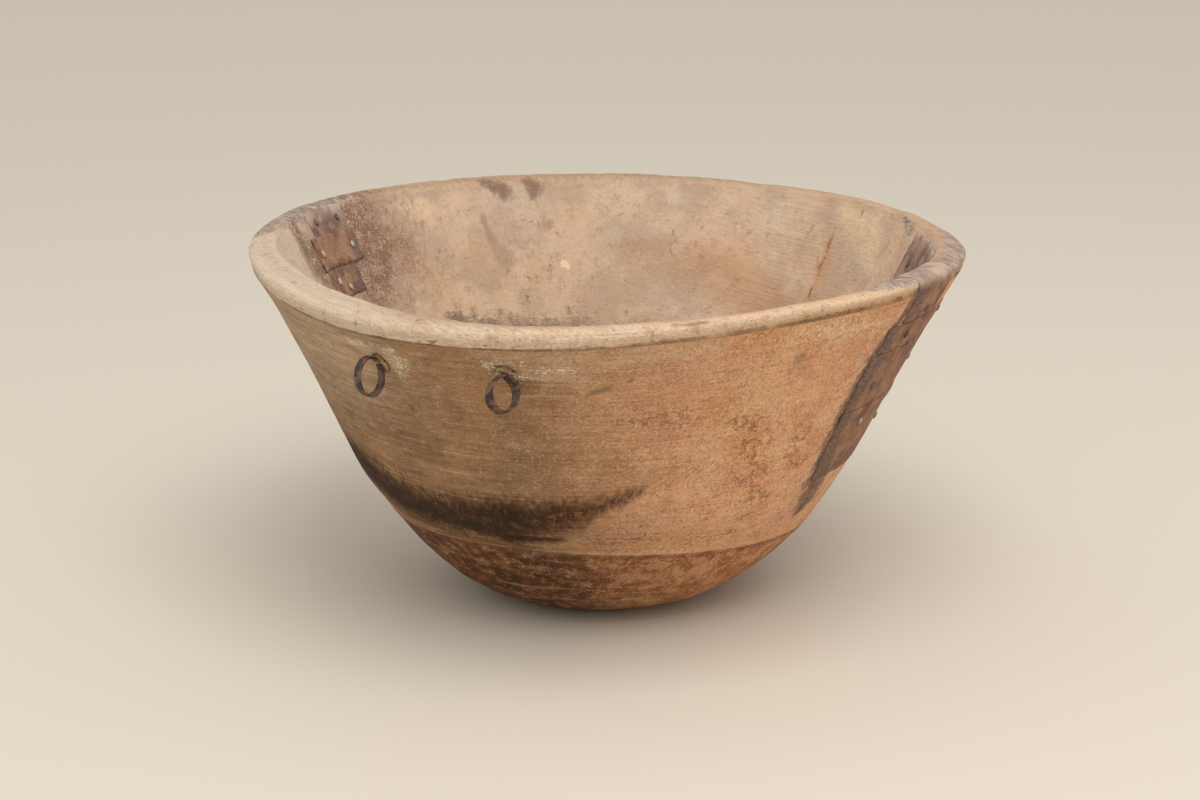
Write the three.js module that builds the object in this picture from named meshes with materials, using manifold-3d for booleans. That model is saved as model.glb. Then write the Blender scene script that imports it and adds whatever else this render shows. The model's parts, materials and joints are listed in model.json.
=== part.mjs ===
// A large old turned wooden bowl with a rolled lip, two bent strap eyes and nailed sheet repairs.
// Lengths are in millimetres and angles in degrees. +Z is up, the front of the bowl looks along -Y
// and its right end along +X. The origin is the middle of the flat foot that it stands on.
import * as THREE from "three";
import { mergeVertices } from "three/addons/utils/BufferGeometryUtils.js";
import Module from "manifold-3d";

const wasm = await Module();
wasm.setup();

// The turned bowl
const BOWL_HEIGHT = 223;
const LIP_RADIUS = 222;
const LIP_THICKNESS = 18.4;
const LIP_DEPTH = 8.8;
const LIP_OVERHANG = 1.5;
const GROOVE_WIDTH = 3;
const GROOVE_DEPTH = 1;
const FOOT_RADIUS = 60.3;
const FOOT_ROUND = 0.7;
const STEP_HEIGHT = 47.8;
const STEP_RADIUS = 133.2;
const STEP_DEPTH = 1.6;
const FLOOR_THICKNESS = 31;
const WALL_LEAN_LOW = 32.2;
const WALL_LEAN_HIGH = 34.2;
const BELLY_LEAN_LOW = 71.1;
const BELLY_LEAN_HIGH = 38.3;
const HOLLOW_LEAN = 29;
const SEGMENTS = 88;
const SEGMENT_ANGLE = 360 / SEGMENTS;

// How the wood has moved since and how unevenly it was cut. Each wave runs a whole number of times
// round the bowl and has a height in millimetres and the angle of its first crest.
const SWELLINGS = [
  { waves: 1, amount: 3.7, crest: 27.7 },
  { waves: 2, amount: 1.5, crest: 98.3 },
  { waves: 3, amount: 1.4, crest: 29.1 },
  { waves: 4, amount: 3.3, crest: 72 },
];
const RIM_WAVES = [
  { waves: 1, amount: 1.5, crest: 20.9 },
  { waves: 2, amount: 3.0, crest: 127.4 },
];
const LIP_SLOPE_WAVES = [{ waves: 2, amount: 4.3, crest: 14.1 }];
const GROOVE_WAVES = [
  { waves: 1, amount: 1.2, crest: 53.5 },
  { waves: 2, amount: 4.1, crest: 61.8 },
];
const GROOVE_WAVE_SPAN = 12;
// The step round the foot was cut by hand: it climbs towards the front.
const STEP_RISE = 14.4;
const STEP_RISE_TOWARDS = -107;
const STEP_RISE_SPAN = 42;

// The strap eyes
const STRAP_WIDTH = 5.6;
const STRAP_THICKNESS = 1.3;
const EYE_STANDOFF = 0.8;
const LEG_GAP = 0.4;
const LEG_LENGTH = 17;
const LEG_BEND = 1.7;
const LEG_CLEARANCE = 1.0;
const EYE_HOLE_RADIUS = 5;
const EYES = [
  { name: "left", radius: 11.3, angle: -127.5, down: 44.5, droop: 1, sway: 7, twist: 6 },
  { name: "right", radius: 10.2, angle: -104.2, down: 39, droop: 24, sway: -16, twist: 31 },
];

// The sheet repairs. Each plate's ends are distances along the surface from the crown of the rim, down
// the outside (+) or down the inside (-), and its sides are angles round the bowl.
const SHEET = 0.8;
const FIT = 0.35;
const NAIL_RADIUS = 1.1;
const NAIL_LENGTH = 11;
const NAIL_HEAD_LONG = 2.6;
const NAIL_HEAD_WIDE = 1.7;
const NAIL_HEAD_HEIGHT = 1.2;
const OVERLAP = 3;
const SEAM = 1;
const LEFT_TOP_START = 6;
const LEFT_TOP_END = 27;
const LEFT_MIDDLE_END = 46.5;
const LEFT_BOTTOM_END = 67;
const LEFT_PLATES = [
  {
    name: "left_inside_plate_top",
    from: -LEFT_TOP_START,
    to: -LEFT_TOP_END,
    angles: [147.5, 159],
    layer: 0,
    nails: [[0.45, 0.2], [0.45, 0.8]],
  },
  {
    name: "left_inside_plate_middle",
    from: -LEFT_TOP_END + OVERLAP,
    to: -LEFT_MIDDLE_END,
    angles: [147, 161.5],
    layer: 1,
    nails: [[0.5, 0.12], [0.5, 0.88]],
  },
  {
    name: "left_inside_plate_bottom",
    from: -LEFT_MIDDLE_END + OVERLAP,
    to: -LEFT_BOTTOM_END,
    angles: [150, 160.5],
    layer: 0,
    nails: [[0.5, 0.8], [0.75, 0.5]],
  },
];
const RIM_PLATE_INSIDE_END = 33;
const RIM_PLATE_END = 37;
const UPPER_PLATE_END = 57;
const MIDDLE_PLATE_END = 102;
const LOWER_PLATE_END = 149;
const RIGHT_INSIDE_START = 12;
const RIGHT_INSIDE_END = 50;
const RIGHT_PLATES = [
  {
    name: "rim_plate",
    from: RIM_PLATE_END,
    to: -RIM_PLATE_INSIDE_END,
    angles: [-34.5, -22.9],
    layer: 0,
    nails: [[0.1, 0.5], [0.88, 0.5]],
  },
  {
    name: "right_plate_upper",
    from: UPPER_PLATE_END,
    to: RIM_PLATE_END + SEAM,
    angles: [-37.2, -4],
    layer: 0,
    nails: [[0.5, 0.2], [0.5, 0.8]],
  },
  {
    name: "right_plate_middle",
    from: MIDDLE_PLATE_END,
    to: UPPER_PLATE_END + SEAM,
    angles: [-38.3, -3],
    layer: 0,
    nails: [[0.45, 0.15], [0.45, 0.8]],
  },
  {
    name: "right_plate_lower",
    from: LOWER_PLATE_END,
    to: MIDDLE_PLATE_END - OVERLAP,
    angles: [-38.7, -2],
    layer: 1,
    nails: [[0.77, 0.24], [0.5, 0.75]],
  },
  {
    name: "right_inside_plate",
    from: -RIGHT_INSIDE_START,
    to: -RIGHT_INSIDE_END,
    angles: [-20, 9],
    layer: 0,
    nails: [[0.5, 0.15], [0.5, 0.85]],
  },
];

const WOOD = new THREE.MeshStandardMaterial({ color: 0xb08660, roughness: 0.75 });
const IRON = new THREE.MeshStandardMaterial({ color: 0x5a4a48, roughness: 0.6, metalness: 0.7 });
const RUSTY_SHEET = new THREE.MeshStandardMaterial({ color: 0x7d5a45, roughness: 0.7, metalness: 0.4 });
const GUM = new THREE.MeshStandardMaterial({ color: 0xb9b08a, roughness: 0.9 });
const NAIL_STEEL = new THREE.MeshStandardMaterial({ color: 0x9a9088, roughness: 0.5, metalness: 0.7 });

const radians = THREE.MathUtils.degToRad;
const point = (r, z) => new THREE.Vector2(r, z);
const leaning = (lean, length) => point(Math.sin(radians(lean)) * length, Math.cos(radians(lean)) * length);

// The section of the turned bowl, from the middle of the foot up the outside, over the lip and down
// the inside to the middle of the floor.
function turnedSection() {
  const footEdge = point(FOOT_RADIUS, 0);
  const bellyStart = footEdge.clone().add(leaning(BELLY_LEAN_LOW, FOOT_ROUND));
  const stepUnder = point(STEP_RADIUS - STEP_DEPTH, STEP_HEIGHT - STEP_DEPTH);
  const stepOver = point(STEP_RADIUS, STEP_HEIGHT);
  const grooveLow = point(LIP_RADIUS - LIP_OVERHANG, BOWL_HEIGHT - LIP_DEPTH - GROOVE_WIDTH);
  const grooveDeep = point(
    LIP_RADIUS - LIP_OVERHANG - GROOVE_DEPTH + leaning(WALL_LEAN_HIGH, GROOVE_WIDTH / 2).x,
    BOWL_HEIGHT - LIP_DEPTH - GROOVE_WIDTH / 2,
  );

  const bellyReach = stepUnder.distanceTo(bellyStart) / 3;
  const belly = new THREE.CubicBezierCurve(
    bellyStart,
    bellyStart.clone().add(leaning(BELLY_LEAN_LOW, bellyReach)),
    stepUnder.clone().sub(leaning(BELLY_LEAN_HIGH, bellyReach)),
    stepUnder,
  );
  const wallReach = grooveLow.distanceTo(stepOver) / 3;
  const wall = new THREE.CubicBezierCurve(
    stepOver,
    stepOver.clone().add(leaning(WALL_LEAN_LOW, wallReach)),
    grooveLow.clone().sub(leaning(WALL_LEAN_HIGH, wallReach)),
    grooveLow,
  );

  const crown = point(LIP_RADIUS - LIP_THICKNESS * 0.55, BOWL_HEIGHT);
  const lipOutside = new THREE.CubicBezierCurve(
    point(LIP_RADIUS - 1.2, BOWL_HEIGHT - LIP_DEPTH),
    point(LIP_RADIUS + 1.2, BOWL_HEIGHT - LIP_DEPTH * 0.55),
    point(LIP_RADIUS - 1, BOWL_HEIGHT - 0.3),
    crown,
  );
  const lipInner = point(LIP_RADIUS - LIP_THICKNESS, BOWL_HEIGHT - 4.5);
  const lipInside = new THREE.CubicBezierCurve(
    crown,
    point(LIP_RADIUS - LIP_THICKNESS * 0.85, BOWL_HEIGHT),
    lipInner.clone().add(leaning(HOLLOW_LEAN - 15, 3)),
    lipInner,
  );
  const hollow = new THREE.CubicBezierCurve(
    lipInner,
    lipInner.clone().sub(leaning(HOLLOW_LEAN, (BOWL_HEIGHT - FLOOR_THICKNESS) * 0.72)),
    point(STEP_RADIUS * 0.92, FLOOR_THICKNESS),
    point(0, FLOOR_THICKNESS),
  );

  const outside = [
    point(0, 0),
    footEdge,
    ...belly.getPoints(6),
    ...wall.getPoints(9),
    grooveDeep,
    ...lipOutside.getPoints(6),
  ];
  const inside = [...lipInside.getPoints(4).slice(1), ...hollow.getPoints(12).slice(1)];
  return { points: [...outside, ...inside], crown: outside.length - 1, groove: outside.indexOf(grooveDeep) };
}

const { points: SECTION, crown: CROWN, groove: GROOVE } = turnedSection();

// Distance of each point of the section from the crown, + down the outside and - down the inside.
const DISTANCE = SECTION.map(() => 0);
for (let i = CROWN - 1; i >= 0; i--) {
  DISTANCE[i] = DISTANCE[i + 1] + SECTION[i].distanceTo(SECTION[i + 1]);
}
for (let i = CROWN + 1; i < SECTION.length; i++) {
  DISTANCE[i] = DISTANCE[i - 1] - SECTION[i].distanceTo(SECTION[i - 1]);
}

const waveSum = (waves, angle) =>
  waves.reduce((sum, w) => sum + w.amount * Math.cos(w.waves * (angle - radians(w.crest))), 0);

// Moves a point of the turned bowl to where it lies now that the wood has dried out of round.
function dried(v, outside) {
  const angle = Math.atan2(v.y, v.x);
  const level = v.z / BOWL_HEIGHT;
  const radius = Math.hypot(v.x, v.y);
  const lipShare = THREE.MathUtils.smoothstep(v.z, BOWL_HEIGHT - 3 * LIP_THICKNESS, BOWL_HEIGHT);
  const inward = THREE.MathUtils.smoothstep(LIP_RADIUS - radius, 0, LIP_THICKNESS) * lipShare;
  const swollen = radius * (1 + (level * waveSum(SWELLINGS, angle)) / LIP_RADIUS);
  let z = v.z + level * level * waveSum(RIM_WAVES, angle) + waveSum(LIP_SLOPE_WAVES, angle) * inward;
  if (outside) {
    const stepShare = THREE.MathUtils.smoothstep(STEP_RISE_SPAN - Math.abs(v.z - STEP_HEIGHT), 0, STEP_RISE_SPAN);
    const grooveOff = Math.abs(v.z - (BOWL_HEIGHT - LIP_DEPTH - GROOVE_WIDTH / 2));
    const frontShare = (1 + Math.cos(angle - radians(STEP_RISE_TOWARDS))) / 2;
    z += STEP_RISE * frontShare * frontShare * stepShare;
    z -= waveSum(GROOVE_WAVES, angle) * Math.max(0, 1 - grooveOff / GROOVE_WAVE_SPAN);
  }
  return new THREE.Vector3(swollen * Math.cos(angle), swollen * Math.sin(angle), z);
}

// A point of the dried section at an angle round the bowl, moved off the surface by an offset. Where
// two facets meet the move is lengthened, so that the moved facets stay parallel to both.
function driedPoint(i, angle, offset) {
  const at = (j, turn) => {
    const k = THREE.MathUtils.clamp(j, 0, SECTION.length - 1);
    const around = radians(turn);
    const { x, y } = SECTION[k];
    return dried(new THREE.Vector3(x * Math.cos(around), x * Math.sin(around), y), k <= CROWN);
  };
  const here = at(i, angle);
  const before = here.clone().sub(at(i - 1, angle)).normalize();
  const after = at(i + 1, angle).sub(here).normalize();
  const along = before.clone().add(after).normalize();
  const across = at(i, angle + 0.5).sub(at(i, angle - 0.5)).normalize();
  const stretch = 1 / Math.max(along.dot(after), 0.7);
  return here.addScaledVector(across.cross(along).normalize(), offset * stretch);
}

// A point on the dried bowl's facets, or off them by an offset.
function onBowl(distance, angle, offset = 0) {
  let i = 0;
  while (i < SECTION.length - 2 && DISTANCE[i + 1] > distance) i++;
  const down = (DISTANCE[i] - distance) / (DISTANCE[i] - DISTANCE[i + 1]);
  const start = Math.floor(angle / SEGMENT_ANGLE) * SEGMENT_ANGLE;
  const side = (turn) => driedPoint(i, turn, offset).lerp(driedPoint(i + 1, turn, offset), down);
  return side(start).lerp(side(start + SEGMENT_ANGLE), (angle - start) / SEGMENT_ANGLE);
}

// A frame seated on the bowl: X out of the surface, Y up along it and Z across.
function seatOn(distance, angle, offset = 0) {
  const origin = onBowl(distance, angle, offset);
  const towardsCrown = distance > 0 ? -1 : 1;
  const up = onBowl(distance + towardsCrown, angle, offset)
    .sub(onBowl(distance - towardsCrown, angle, offset))
    .normalize();
  const across = onBowl(distance, angle + 0.5, offset).sub(onBowl(distance, angle - 0.5, offset)).normalize();
  const out = up.clone().cross(across).normalize();
  if (distance > 0) out.negate();
  across.crossVectors(out, up);
  return new THREE.Matrix4().makeBasis(out, up, across).setPosition(origin);
}

// Closed geometry to a solid, and back.
function solidOf(geometry, matrix = new THREE.Matrix4()) {
  const bare = geometry.clone().applyMatrix4(matrix);
  bare.deleteAttribute("normal");
  bare.deleteAttribute("uv");
  const merged = mergeVertices(bare, 1e-4);
  const index = merged.index.array;
  const kept = [];
  for (let i = 0; i < index.length; i += 3) {
    const [a, b, c] = [index[i], index[i + 1], index[i + 2]];
    if (a !== b && b !== c && c !== a) kept.push(a, b, c);
  }
  return new wasm.Manifold(
    new wasm.Mesh({
      numProp: 3,
      vertProperties: merged.attributes.position.array,
      triVerts: Uint32Array.from(kept),
    }),
  );
}

function geometryOf(solid) {
  const mesh = solid.getMesh();
  const geometry = new THREE.BufferGeometry();
  geometry.setAttribute("position", new THREE.BufferAttribute(mesh.vertProperties, 3));
  geometry.setIndex(new THREE.BufferAttribute(mesh.triVerts, 1));
  return geometry;
}

// A round cutter along X, from one depth to another.
function boreAlongX(radius, from, to, sides) {
  const bore = new THREE.CylinderGeometry(radius, radius, to - from, sides);
  bore.rotateZ(Math.PI / 2);
  bore.translate((from + to) / 2, 0, 0);
  return bore;
}

function meshOf(name, geometry, material) {
  const mesh = new THREE.Mesh(geometry, material);
  mesh.name = name;
  return mesh;
}

// The strap eye

// Where the inner wall lies in the eye's own frame, at a height up the wall from the bore's axis.
function innerWallAt(height, eye, toEye) {
  let distance = -eye.down;
  let angle = eye.angle;
  for (let i = 0; i < 6; i++) {
    const here = onBowl(distance, angle).applyMatrix4(toEye);
    const down = onBowl(distance - 1, angle).applyMatrix4(toEye).sub(here);
    const round = onBowl(distance, angle + 1).applyMatrix4(toEye).sub(here);
    const missing = new THREE.Vector2(height - here.y, -here.z);
    const area = down.y * round.z - round.y * down.z;
    distance -= (missing.x * round.z - round.y * missing.y) / area;
    angle += (down.y * missing.y - missing.x * down.z) / area;
  }
  return onBowl(distance, angle).applyMatrix4(toEye).x;
}

// The middle line of the strap in the plane of its loop: X out of the wall and Y up along it.
function strapLine(eye, innerWall) {
  const half = (STRAP_THICKNESS + LEG_GAP) / 2;
  const radius = eye.radius - STRAP_THICKNESS / 2;
  const reach = eye.radius + EYE_STANDOFF;
  const tilt = radians(eye.droop);
  const centre = point(reach, -reach * Math.tan(tilt));
  const neck = radians(24);
  const back = Math.PI - tilt;
  const loop = new THREE.EllipseCurve(centre.x, centre.y, radius, radius, back - neck, back + neck - 2 * Math.PI, true);
  const start = loop.getPoint(0);
  const end = loop.getPoint(1);
  const startWay = loop.getTangent(0);
  const endWay = loop.getTangent(1);
  const upperNeck = new THREE.CubicBezierCurve(
    point(-1, half),
    point(1.2, half),
    start.clone().addScaledVector(startWay, -2.2),
    start,
  );
  const lowerNeck = new THREE.CubicBezierCurve(
    end,
    end.clone().addScaledVector(endWay, 2.2),
    point(1.2, -half),
    point(-1, -half),
  );
  // Inside, each leg turns over and lies flat along the inner wall.
  const leg = (side) => {
    const lean = Math.atan2(innerWall(side * LEG_LENGTH) - innerWall(0), LEG_LENGTH);
    const turn = Math.PI / 2 + lean;
    const face = innerWall(0) - LEG_CLEARANCE - STRAP_THICKNESS / 2;
    const bendCentre = point(face + LEG_BEND, half + LEG_BEND);
    const straight = [0.25, 0.5, 0.75].map((t) => point(bendCentre.x * t, side * half));
    const bend = [0, 0.25, 0.5, 0.75, 1].map((t) =>
      point(
        bendCentre.x - LEG_BEND * Math.sin(t * turn),
        side * (bendCentre.y - LEG_BEND * Math.cos(t * turn)),
      ),
    );
    const last = bend[bend.length - 1];
    const way = point(-Math.cos(turn), side * Math.sin(turn));
    return [...straight, ...bend, last.clone().addScaledVector(way, LEG_LENGTH)];
  };
  return [
    ...leg(1).reverse(),
    ...upperNeck.getPoints(5),
    ...loop.getPoints(30).slice(1, -1),
    ...lowerNeck.getPoints(5),
    ...leg(-1),
  ];
}

// The strap's outline: its middle line moved off to both sides by half its thickness.
function strapOutline(line) {
  const sides = [1, -1].map((side) =>
    line.map((here, i) => {
      const before = line[Math.max(i - 1, 0)];
      const after = line[Math.min(i + 1, line.length - 1)];
      const a = i > 0 ? here.clone().sub(before).normalize() : after.clone().sub(here).normalize();
      const b = i < line.length - 1 ? after.clone().sub(here).normalize() : a;
      const along = a.clone().add(b).normalize();
      const off = (side * STRAP_THICKNESS) / 2 / along.dot(a);
      return point(here.x - along.y * off, here.y + along.x * off);
    }),
  );
  return new THREE.Shape([...sides[0], ...sides[1].reverse()]);
}

function eyeParts(eye) {
  const seat = seatOn(eye.down, eye.angle);
  const turnedSeat = seat.clone().multiply(new THREE.Matrix4().makeRotationX(radians(eye.twist)));
  const toEye = turnedSeat.clone().invert();
  const innerWall = (height) => innerWallAt(height, eye, toEye);
  const thickness = -innerWall(0);
  const strap = new THREE.ExtrudeGeometry(strapOutline(strapLine(eye, innerWall)), {
    depth: STRAP_WIDTH,
    bevelEnabled: false,
  });
  strap.translate(0, 0, -STRAP_WIDTH / 2);
  // The loop leans over sideways from where it leaves the wall.
  const position = strap.attributes.position;
  for (let i = 0; i < position.count; i++) {
    const out = Math.max(position.getX(i) - STRAP_THICKNESS, 0);
    position.setZ(i, position.getZ(i) - out * Math.tan(radians(eye.sway)));
  }

  const plug = boreAlongX(EYE_HOLE_RADIUS - FIT, -thickness + 0.2, -0.2, 20);
  const slot = new THREE.BoxGeometry(
    4 * thickness,
    2 * STRAP_THICKNESS + LEG_GAP + 2 * FIT,
    STRAP_WIDTH + 2 * FIT,
  );
  const packing = geometryOf(solidOf(plug).subtract(solidOf(slot)));

  const group = new THREE.Group();
  group.applyMatrix4(turnedSeat);
  group.add(meshOf(eye.name + "_eye", strap, IRON), meshOf(eye.name + "_packing", packing, GUM));
  const hole = solidOf(boreAlongX(EYE_HOLE_RADIUS, -thickness - 15, 6, 20), seat);
  return { group, hole };
}

// The sheet plates and their nails

// A plate bent to the bowl: a grid of points on its two faces, closed round its edge. The sheet
// bridges the groove under the lip.
function plateGeometry(plate) {
  const under = FIT + plate.layer * (SHEET + FIT);
  const stops = DISTANCE.filter((d, i) => d < plate.from && d > plate.to && i !== GROOVE);
  const rows = [plate.from, ...stops, plate.to];
  const turns = [plate.angles[0]];
  for (let k = Math.floor(plate.angles[0] / SEGMENT_ANGLE) + 1; k * SEGMENT_ANGLE < plate.angles[1]; k++) {
    turns.push(k * SEGMENT_ANGLE);
  }
  turns.push(plate.angles[1]);
  const columns = turns.length;
  const positions = [];
  for (const offset of [under, under + SHEET]) {
    for (const distance of rows) {
      for (const angle of turns) positions.push(...onBowl(distance, angle, offset).toArray());
    }
  }
  const face = rows.length * columns;
  const index = [];
  const quad = (a, b, c, d) => index.push(a, c, b, a, d, c);
  for (let i = 0; i < rows.length - 1; i++) {
    for (let j = 0; j < columns - 1; j++) {
      const a = i * columns + j;
      quad(a, a + 1, a + 1 + columns, a + columns);
      quad(face + a, face + a + columns, face + a + 1 + columns, face + a + 1);
    }
    const left = i * columns;
    const right = left + columns - 1;
    quad(left, left + columns, face + left + columns, face + left);
    quad(right, face + right, face + right + columns, right + columns);
  }
  for (let j = 0; j < columns - 1; j++) {
    const top = j;
    const bottom = (rows.length - 1) * columns + j;
    quad(top, face + top, face + top + 1, top + 1);
    quad(bottom, bottom + 1, face + bottom + 1, face + bottom);
  }
  const geometry = new THREE.BufferGeometry();
  geometry.setAttribute("position", new THREE.Float32BufferAttribute(positions, 3));
  geometry.setIndex(index);
  return geometry;
}

// A forged nail with an oval head, its point along -X and the underside of its head at X = 0.
function nailGeometry() {
  const outline = [
    point(0, -NAIL_LENGTH),
    point(NAIL_RADIUS, -NAIL_LENGTH + 3),
    point(NAIL_RADIUS, 0),
    point(NAIL_HEAD_LONG, 0),
    point(NAIL_HEAD_LONG * 0.85, NAIL_HEAD_HEIGHT * 0.65),
    point(NAIL_HEAD_LONG * 0.4, NAIL_HEAD_HEIGHT),
    point(0, NAIL_HEAD_HEIGHT),
  ];
  const nail = new THREE.LatheGeometry(outline, 10);
  const position = nail.attributes.position;
  for (let i = 0; i < position.count; i++) {
    if (position.getY(i) >= 0 && Math.hypot(position.getX(i), position.getZ(i)) > NAIL_RADIUS) {
      position.setZ(i, (position.getZ(i) * NAIL_HEAD_WIDE) / NAIL_HEAD_LONG);
    }
  }
  nail.rotateZ(-Math.PI / 2);
  return nail;
}

function plateParts(plate) {
  const top = FIT + plate.layer * (SHEET + FIT) + SHEET + FIT;
  let sheet = solidOf(plateGeometry(plate));
  const parts = [];
  const holes = [];
  plate.nails.forEach(([alongShare, aroundShare], i) => {
    const distance = THREE.MathUtils.lerp(plate.from, plate.to, alongShare);
    const angle = THREE.MathUtils.lerp(plate.angles[0], plate.angles[1], aroundShare);
    const seat = seatOn(distance, angle, top);
    const hole = solidOf(boreAlongX(NAIL_RADIUS + FIT, -NAIL_LENGTH - FIT, 3, 8), seat);
    sheet = sheet.subtract(hole);
    holes.push(hole);
    const nail = meshOf(`${plate.name}_nail_${i + 1}`, geometryOf(solidOf(nailGeometry())), NAIL_STEEL);
    nail.applyMatrix4(seat);
    parts.push(nail);
  });
  parts.unshift(meshOf(plate.name, geometryOf(sheet), RUSTY_SHEET));
  return { parts, holes };
}

// The bowl: turned as a lathe would, dried out of round, then bored for the eyes and nails.
function bowlSolid() {
  const turned = new THREE.LatheGeometry(SECTION, SEGMENTS);
  turned.rotateX(Math.PI / 2);
  const position = turned.attributes.position;
  for (let i = 0; i < position.count; i++) {
    const v = new THREE.Vector3().fromBufferAttribute(position, i);
    const moved = dried(v, i % SECTION.length <= CROWN);
    position.setXYZ(i, moved.x, moved.y, moved.z);
  }
  return solidOf(turned);
}

const vessel = new THREE.Group();
let bowl = bowlSolid();
for (const eye of EYES) {
  const { group, hole } = eyeParts(eye);
  vessel.add(group);
  bowl = bowl.subtract(hole);
}
for (const plate of [...LEFT_PLATES, ...RIGHT_PLATES]) {
  const { parts, holes } = plateParts(plate);
  vessel.add(...parts);
  for (const hole of holes) bowl = bowl.subtract(hole);
}
vessel.add(meshOf("bowl", geometryOf(bowl), WOOD));

export default vessel;
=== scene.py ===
# %% [markdown]
# # A large old turned wooden bowl
#
# The bowl was turned from one block of wood, dried out of round over many years, and was mended with
# nailed sheet. Two strap eyes of forged iron are let into its front wall. This notebook dresses the
# imported model of it: every piece gets its worn shape and its finish, and stays where the model has it.
#
# The imported model is the frame that everything is built round, so it is loaded first.

# %% Load the frame
import bpy
import json
import math
import bmesh
import numpy as np
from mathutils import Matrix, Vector


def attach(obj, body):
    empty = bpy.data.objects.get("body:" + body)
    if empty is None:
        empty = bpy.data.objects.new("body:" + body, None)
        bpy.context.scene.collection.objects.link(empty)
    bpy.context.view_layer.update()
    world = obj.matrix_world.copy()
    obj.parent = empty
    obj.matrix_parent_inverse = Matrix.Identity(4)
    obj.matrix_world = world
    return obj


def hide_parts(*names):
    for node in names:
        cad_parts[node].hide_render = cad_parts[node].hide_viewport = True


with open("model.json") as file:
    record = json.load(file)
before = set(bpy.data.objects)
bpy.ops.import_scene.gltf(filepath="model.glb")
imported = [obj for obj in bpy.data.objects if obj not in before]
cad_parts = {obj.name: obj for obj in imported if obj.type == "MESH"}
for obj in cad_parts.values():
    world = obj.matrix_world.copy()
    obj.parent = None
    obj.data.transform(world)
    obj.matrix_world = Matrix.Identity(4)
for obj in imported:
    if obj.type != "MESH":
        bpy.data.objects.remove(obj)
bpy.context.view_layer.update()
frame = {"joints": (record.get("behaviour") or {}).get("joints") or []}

MM = 0.001

# %% [markdown]
# ## The camera
#
# The photograph was taken with a moderately long lens from a little above the rim. A camera can be
# placed by its position and a target, but here the aim point, the distance and the tilt are the things
# that were measured, so the position is worked out from them.

# %% Place the camera
SENSOR_WIDTH = 36.0
LENS = 78.0
CAMERA_AIM = Vector((-0.1, 0.0, 118.8)) * MM
CAMERA_DISTANCE = 1643.5 * MM
CAMERA_TILT = math.radians(15.71)

camera_data = bpy.data.cameras.new("camera")
camera_data.sensor_width = SENSOR_WIDTH
camera_data.lens = LENS
camera = bpy.data.objects.new("camera", camera_data)
back_and_up = Vector((0, -math.cos(CAMERA_TILT), math.sin(CAMERA_TILT)))
camera.location = CAMERA_AIM + back_and_up * CAMERA_DISTANCE
camera.rotation_euler = (math.pi / 2 - CAMERA_TILT, 0, 0)
bpy.context.scene.collection.objects.link(camera)
bpy.context.scene.camera = camera
print("camera at", [round(c, 3) for c in camera.location])

# %% [markdown]
# ## The section of the bowl
#
# A turned bowl is one section spun round an axis. The section could be drawn point by point, but then
# no size in it could be read. Here it is a few straight and curved stretches with the same sizes as in
# the model: the foot, the belly up to a small step, the long wall, a groove, the rolled lip and the
# hollow. Every point of it is known by its distance along the surface from the crown of the rim, which
# is positive down the outside and negative down the inside.

# %% Sizes of the section, in millimetres and degrees
BOWL_HEIGHT = 223.0
LIP_RADIUS = 222.0
LIP_THICKNESS = 18.4
LIP_DEPTH = 8.8
LIP_OVERHANG = 1.5
LIP_BULGE = 1.2
CROWN_IN = 0.55 * LIP_THICKNESS
LIP_INNER_DROP = 4.5
GROOVE_WIDTH = 3.0
GROOVE_DEPTH = 1.0
FOOT_RADIUS = 60.3
FOOT_ROUND = 0.7
STEP_HEIGHT = 47.8
STEP_RADIUS = 133.2
STEP_DEPTH = 1.6
FLOOR_THICKNESS = 31.0
FLOOR_REACH = 0.92 * STEP_RADIUS
HOLLOW_REACH = 0.72 * (BOWL_HEIGHT - FLOOR_THICKNESS)
WALL_LEAN_LOW, WALL_LEAN_HIGH = 32.2, 34.2
BELLY_LEAN_LOW, BELLY_LEAN_HIGH = 71.1, 38.3
HOLLOW_LEAN = 29.0


# %% Straight steps and cubic curves
def leaning(lean, length):
    """A step of that length, leaning out from the vertical: (sin, cos) of the lean times the length."""
    return np.array([math.sin(math.radians(lean)), math.cos(math.radians(lean))]) * length


def cubic(a, b, c, d, count=400):
    """A cubic Bezier curve: each of the four points weighted by its Bernstein polynomial."""
    t = np.linspace(0, 1, count)[:, None]
    return a * (1 - t) ** 3 + 3 * b * t * (1 - t) ** 2 + 3 * c * t**2 * (1 - t) + d * t**3


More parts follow.
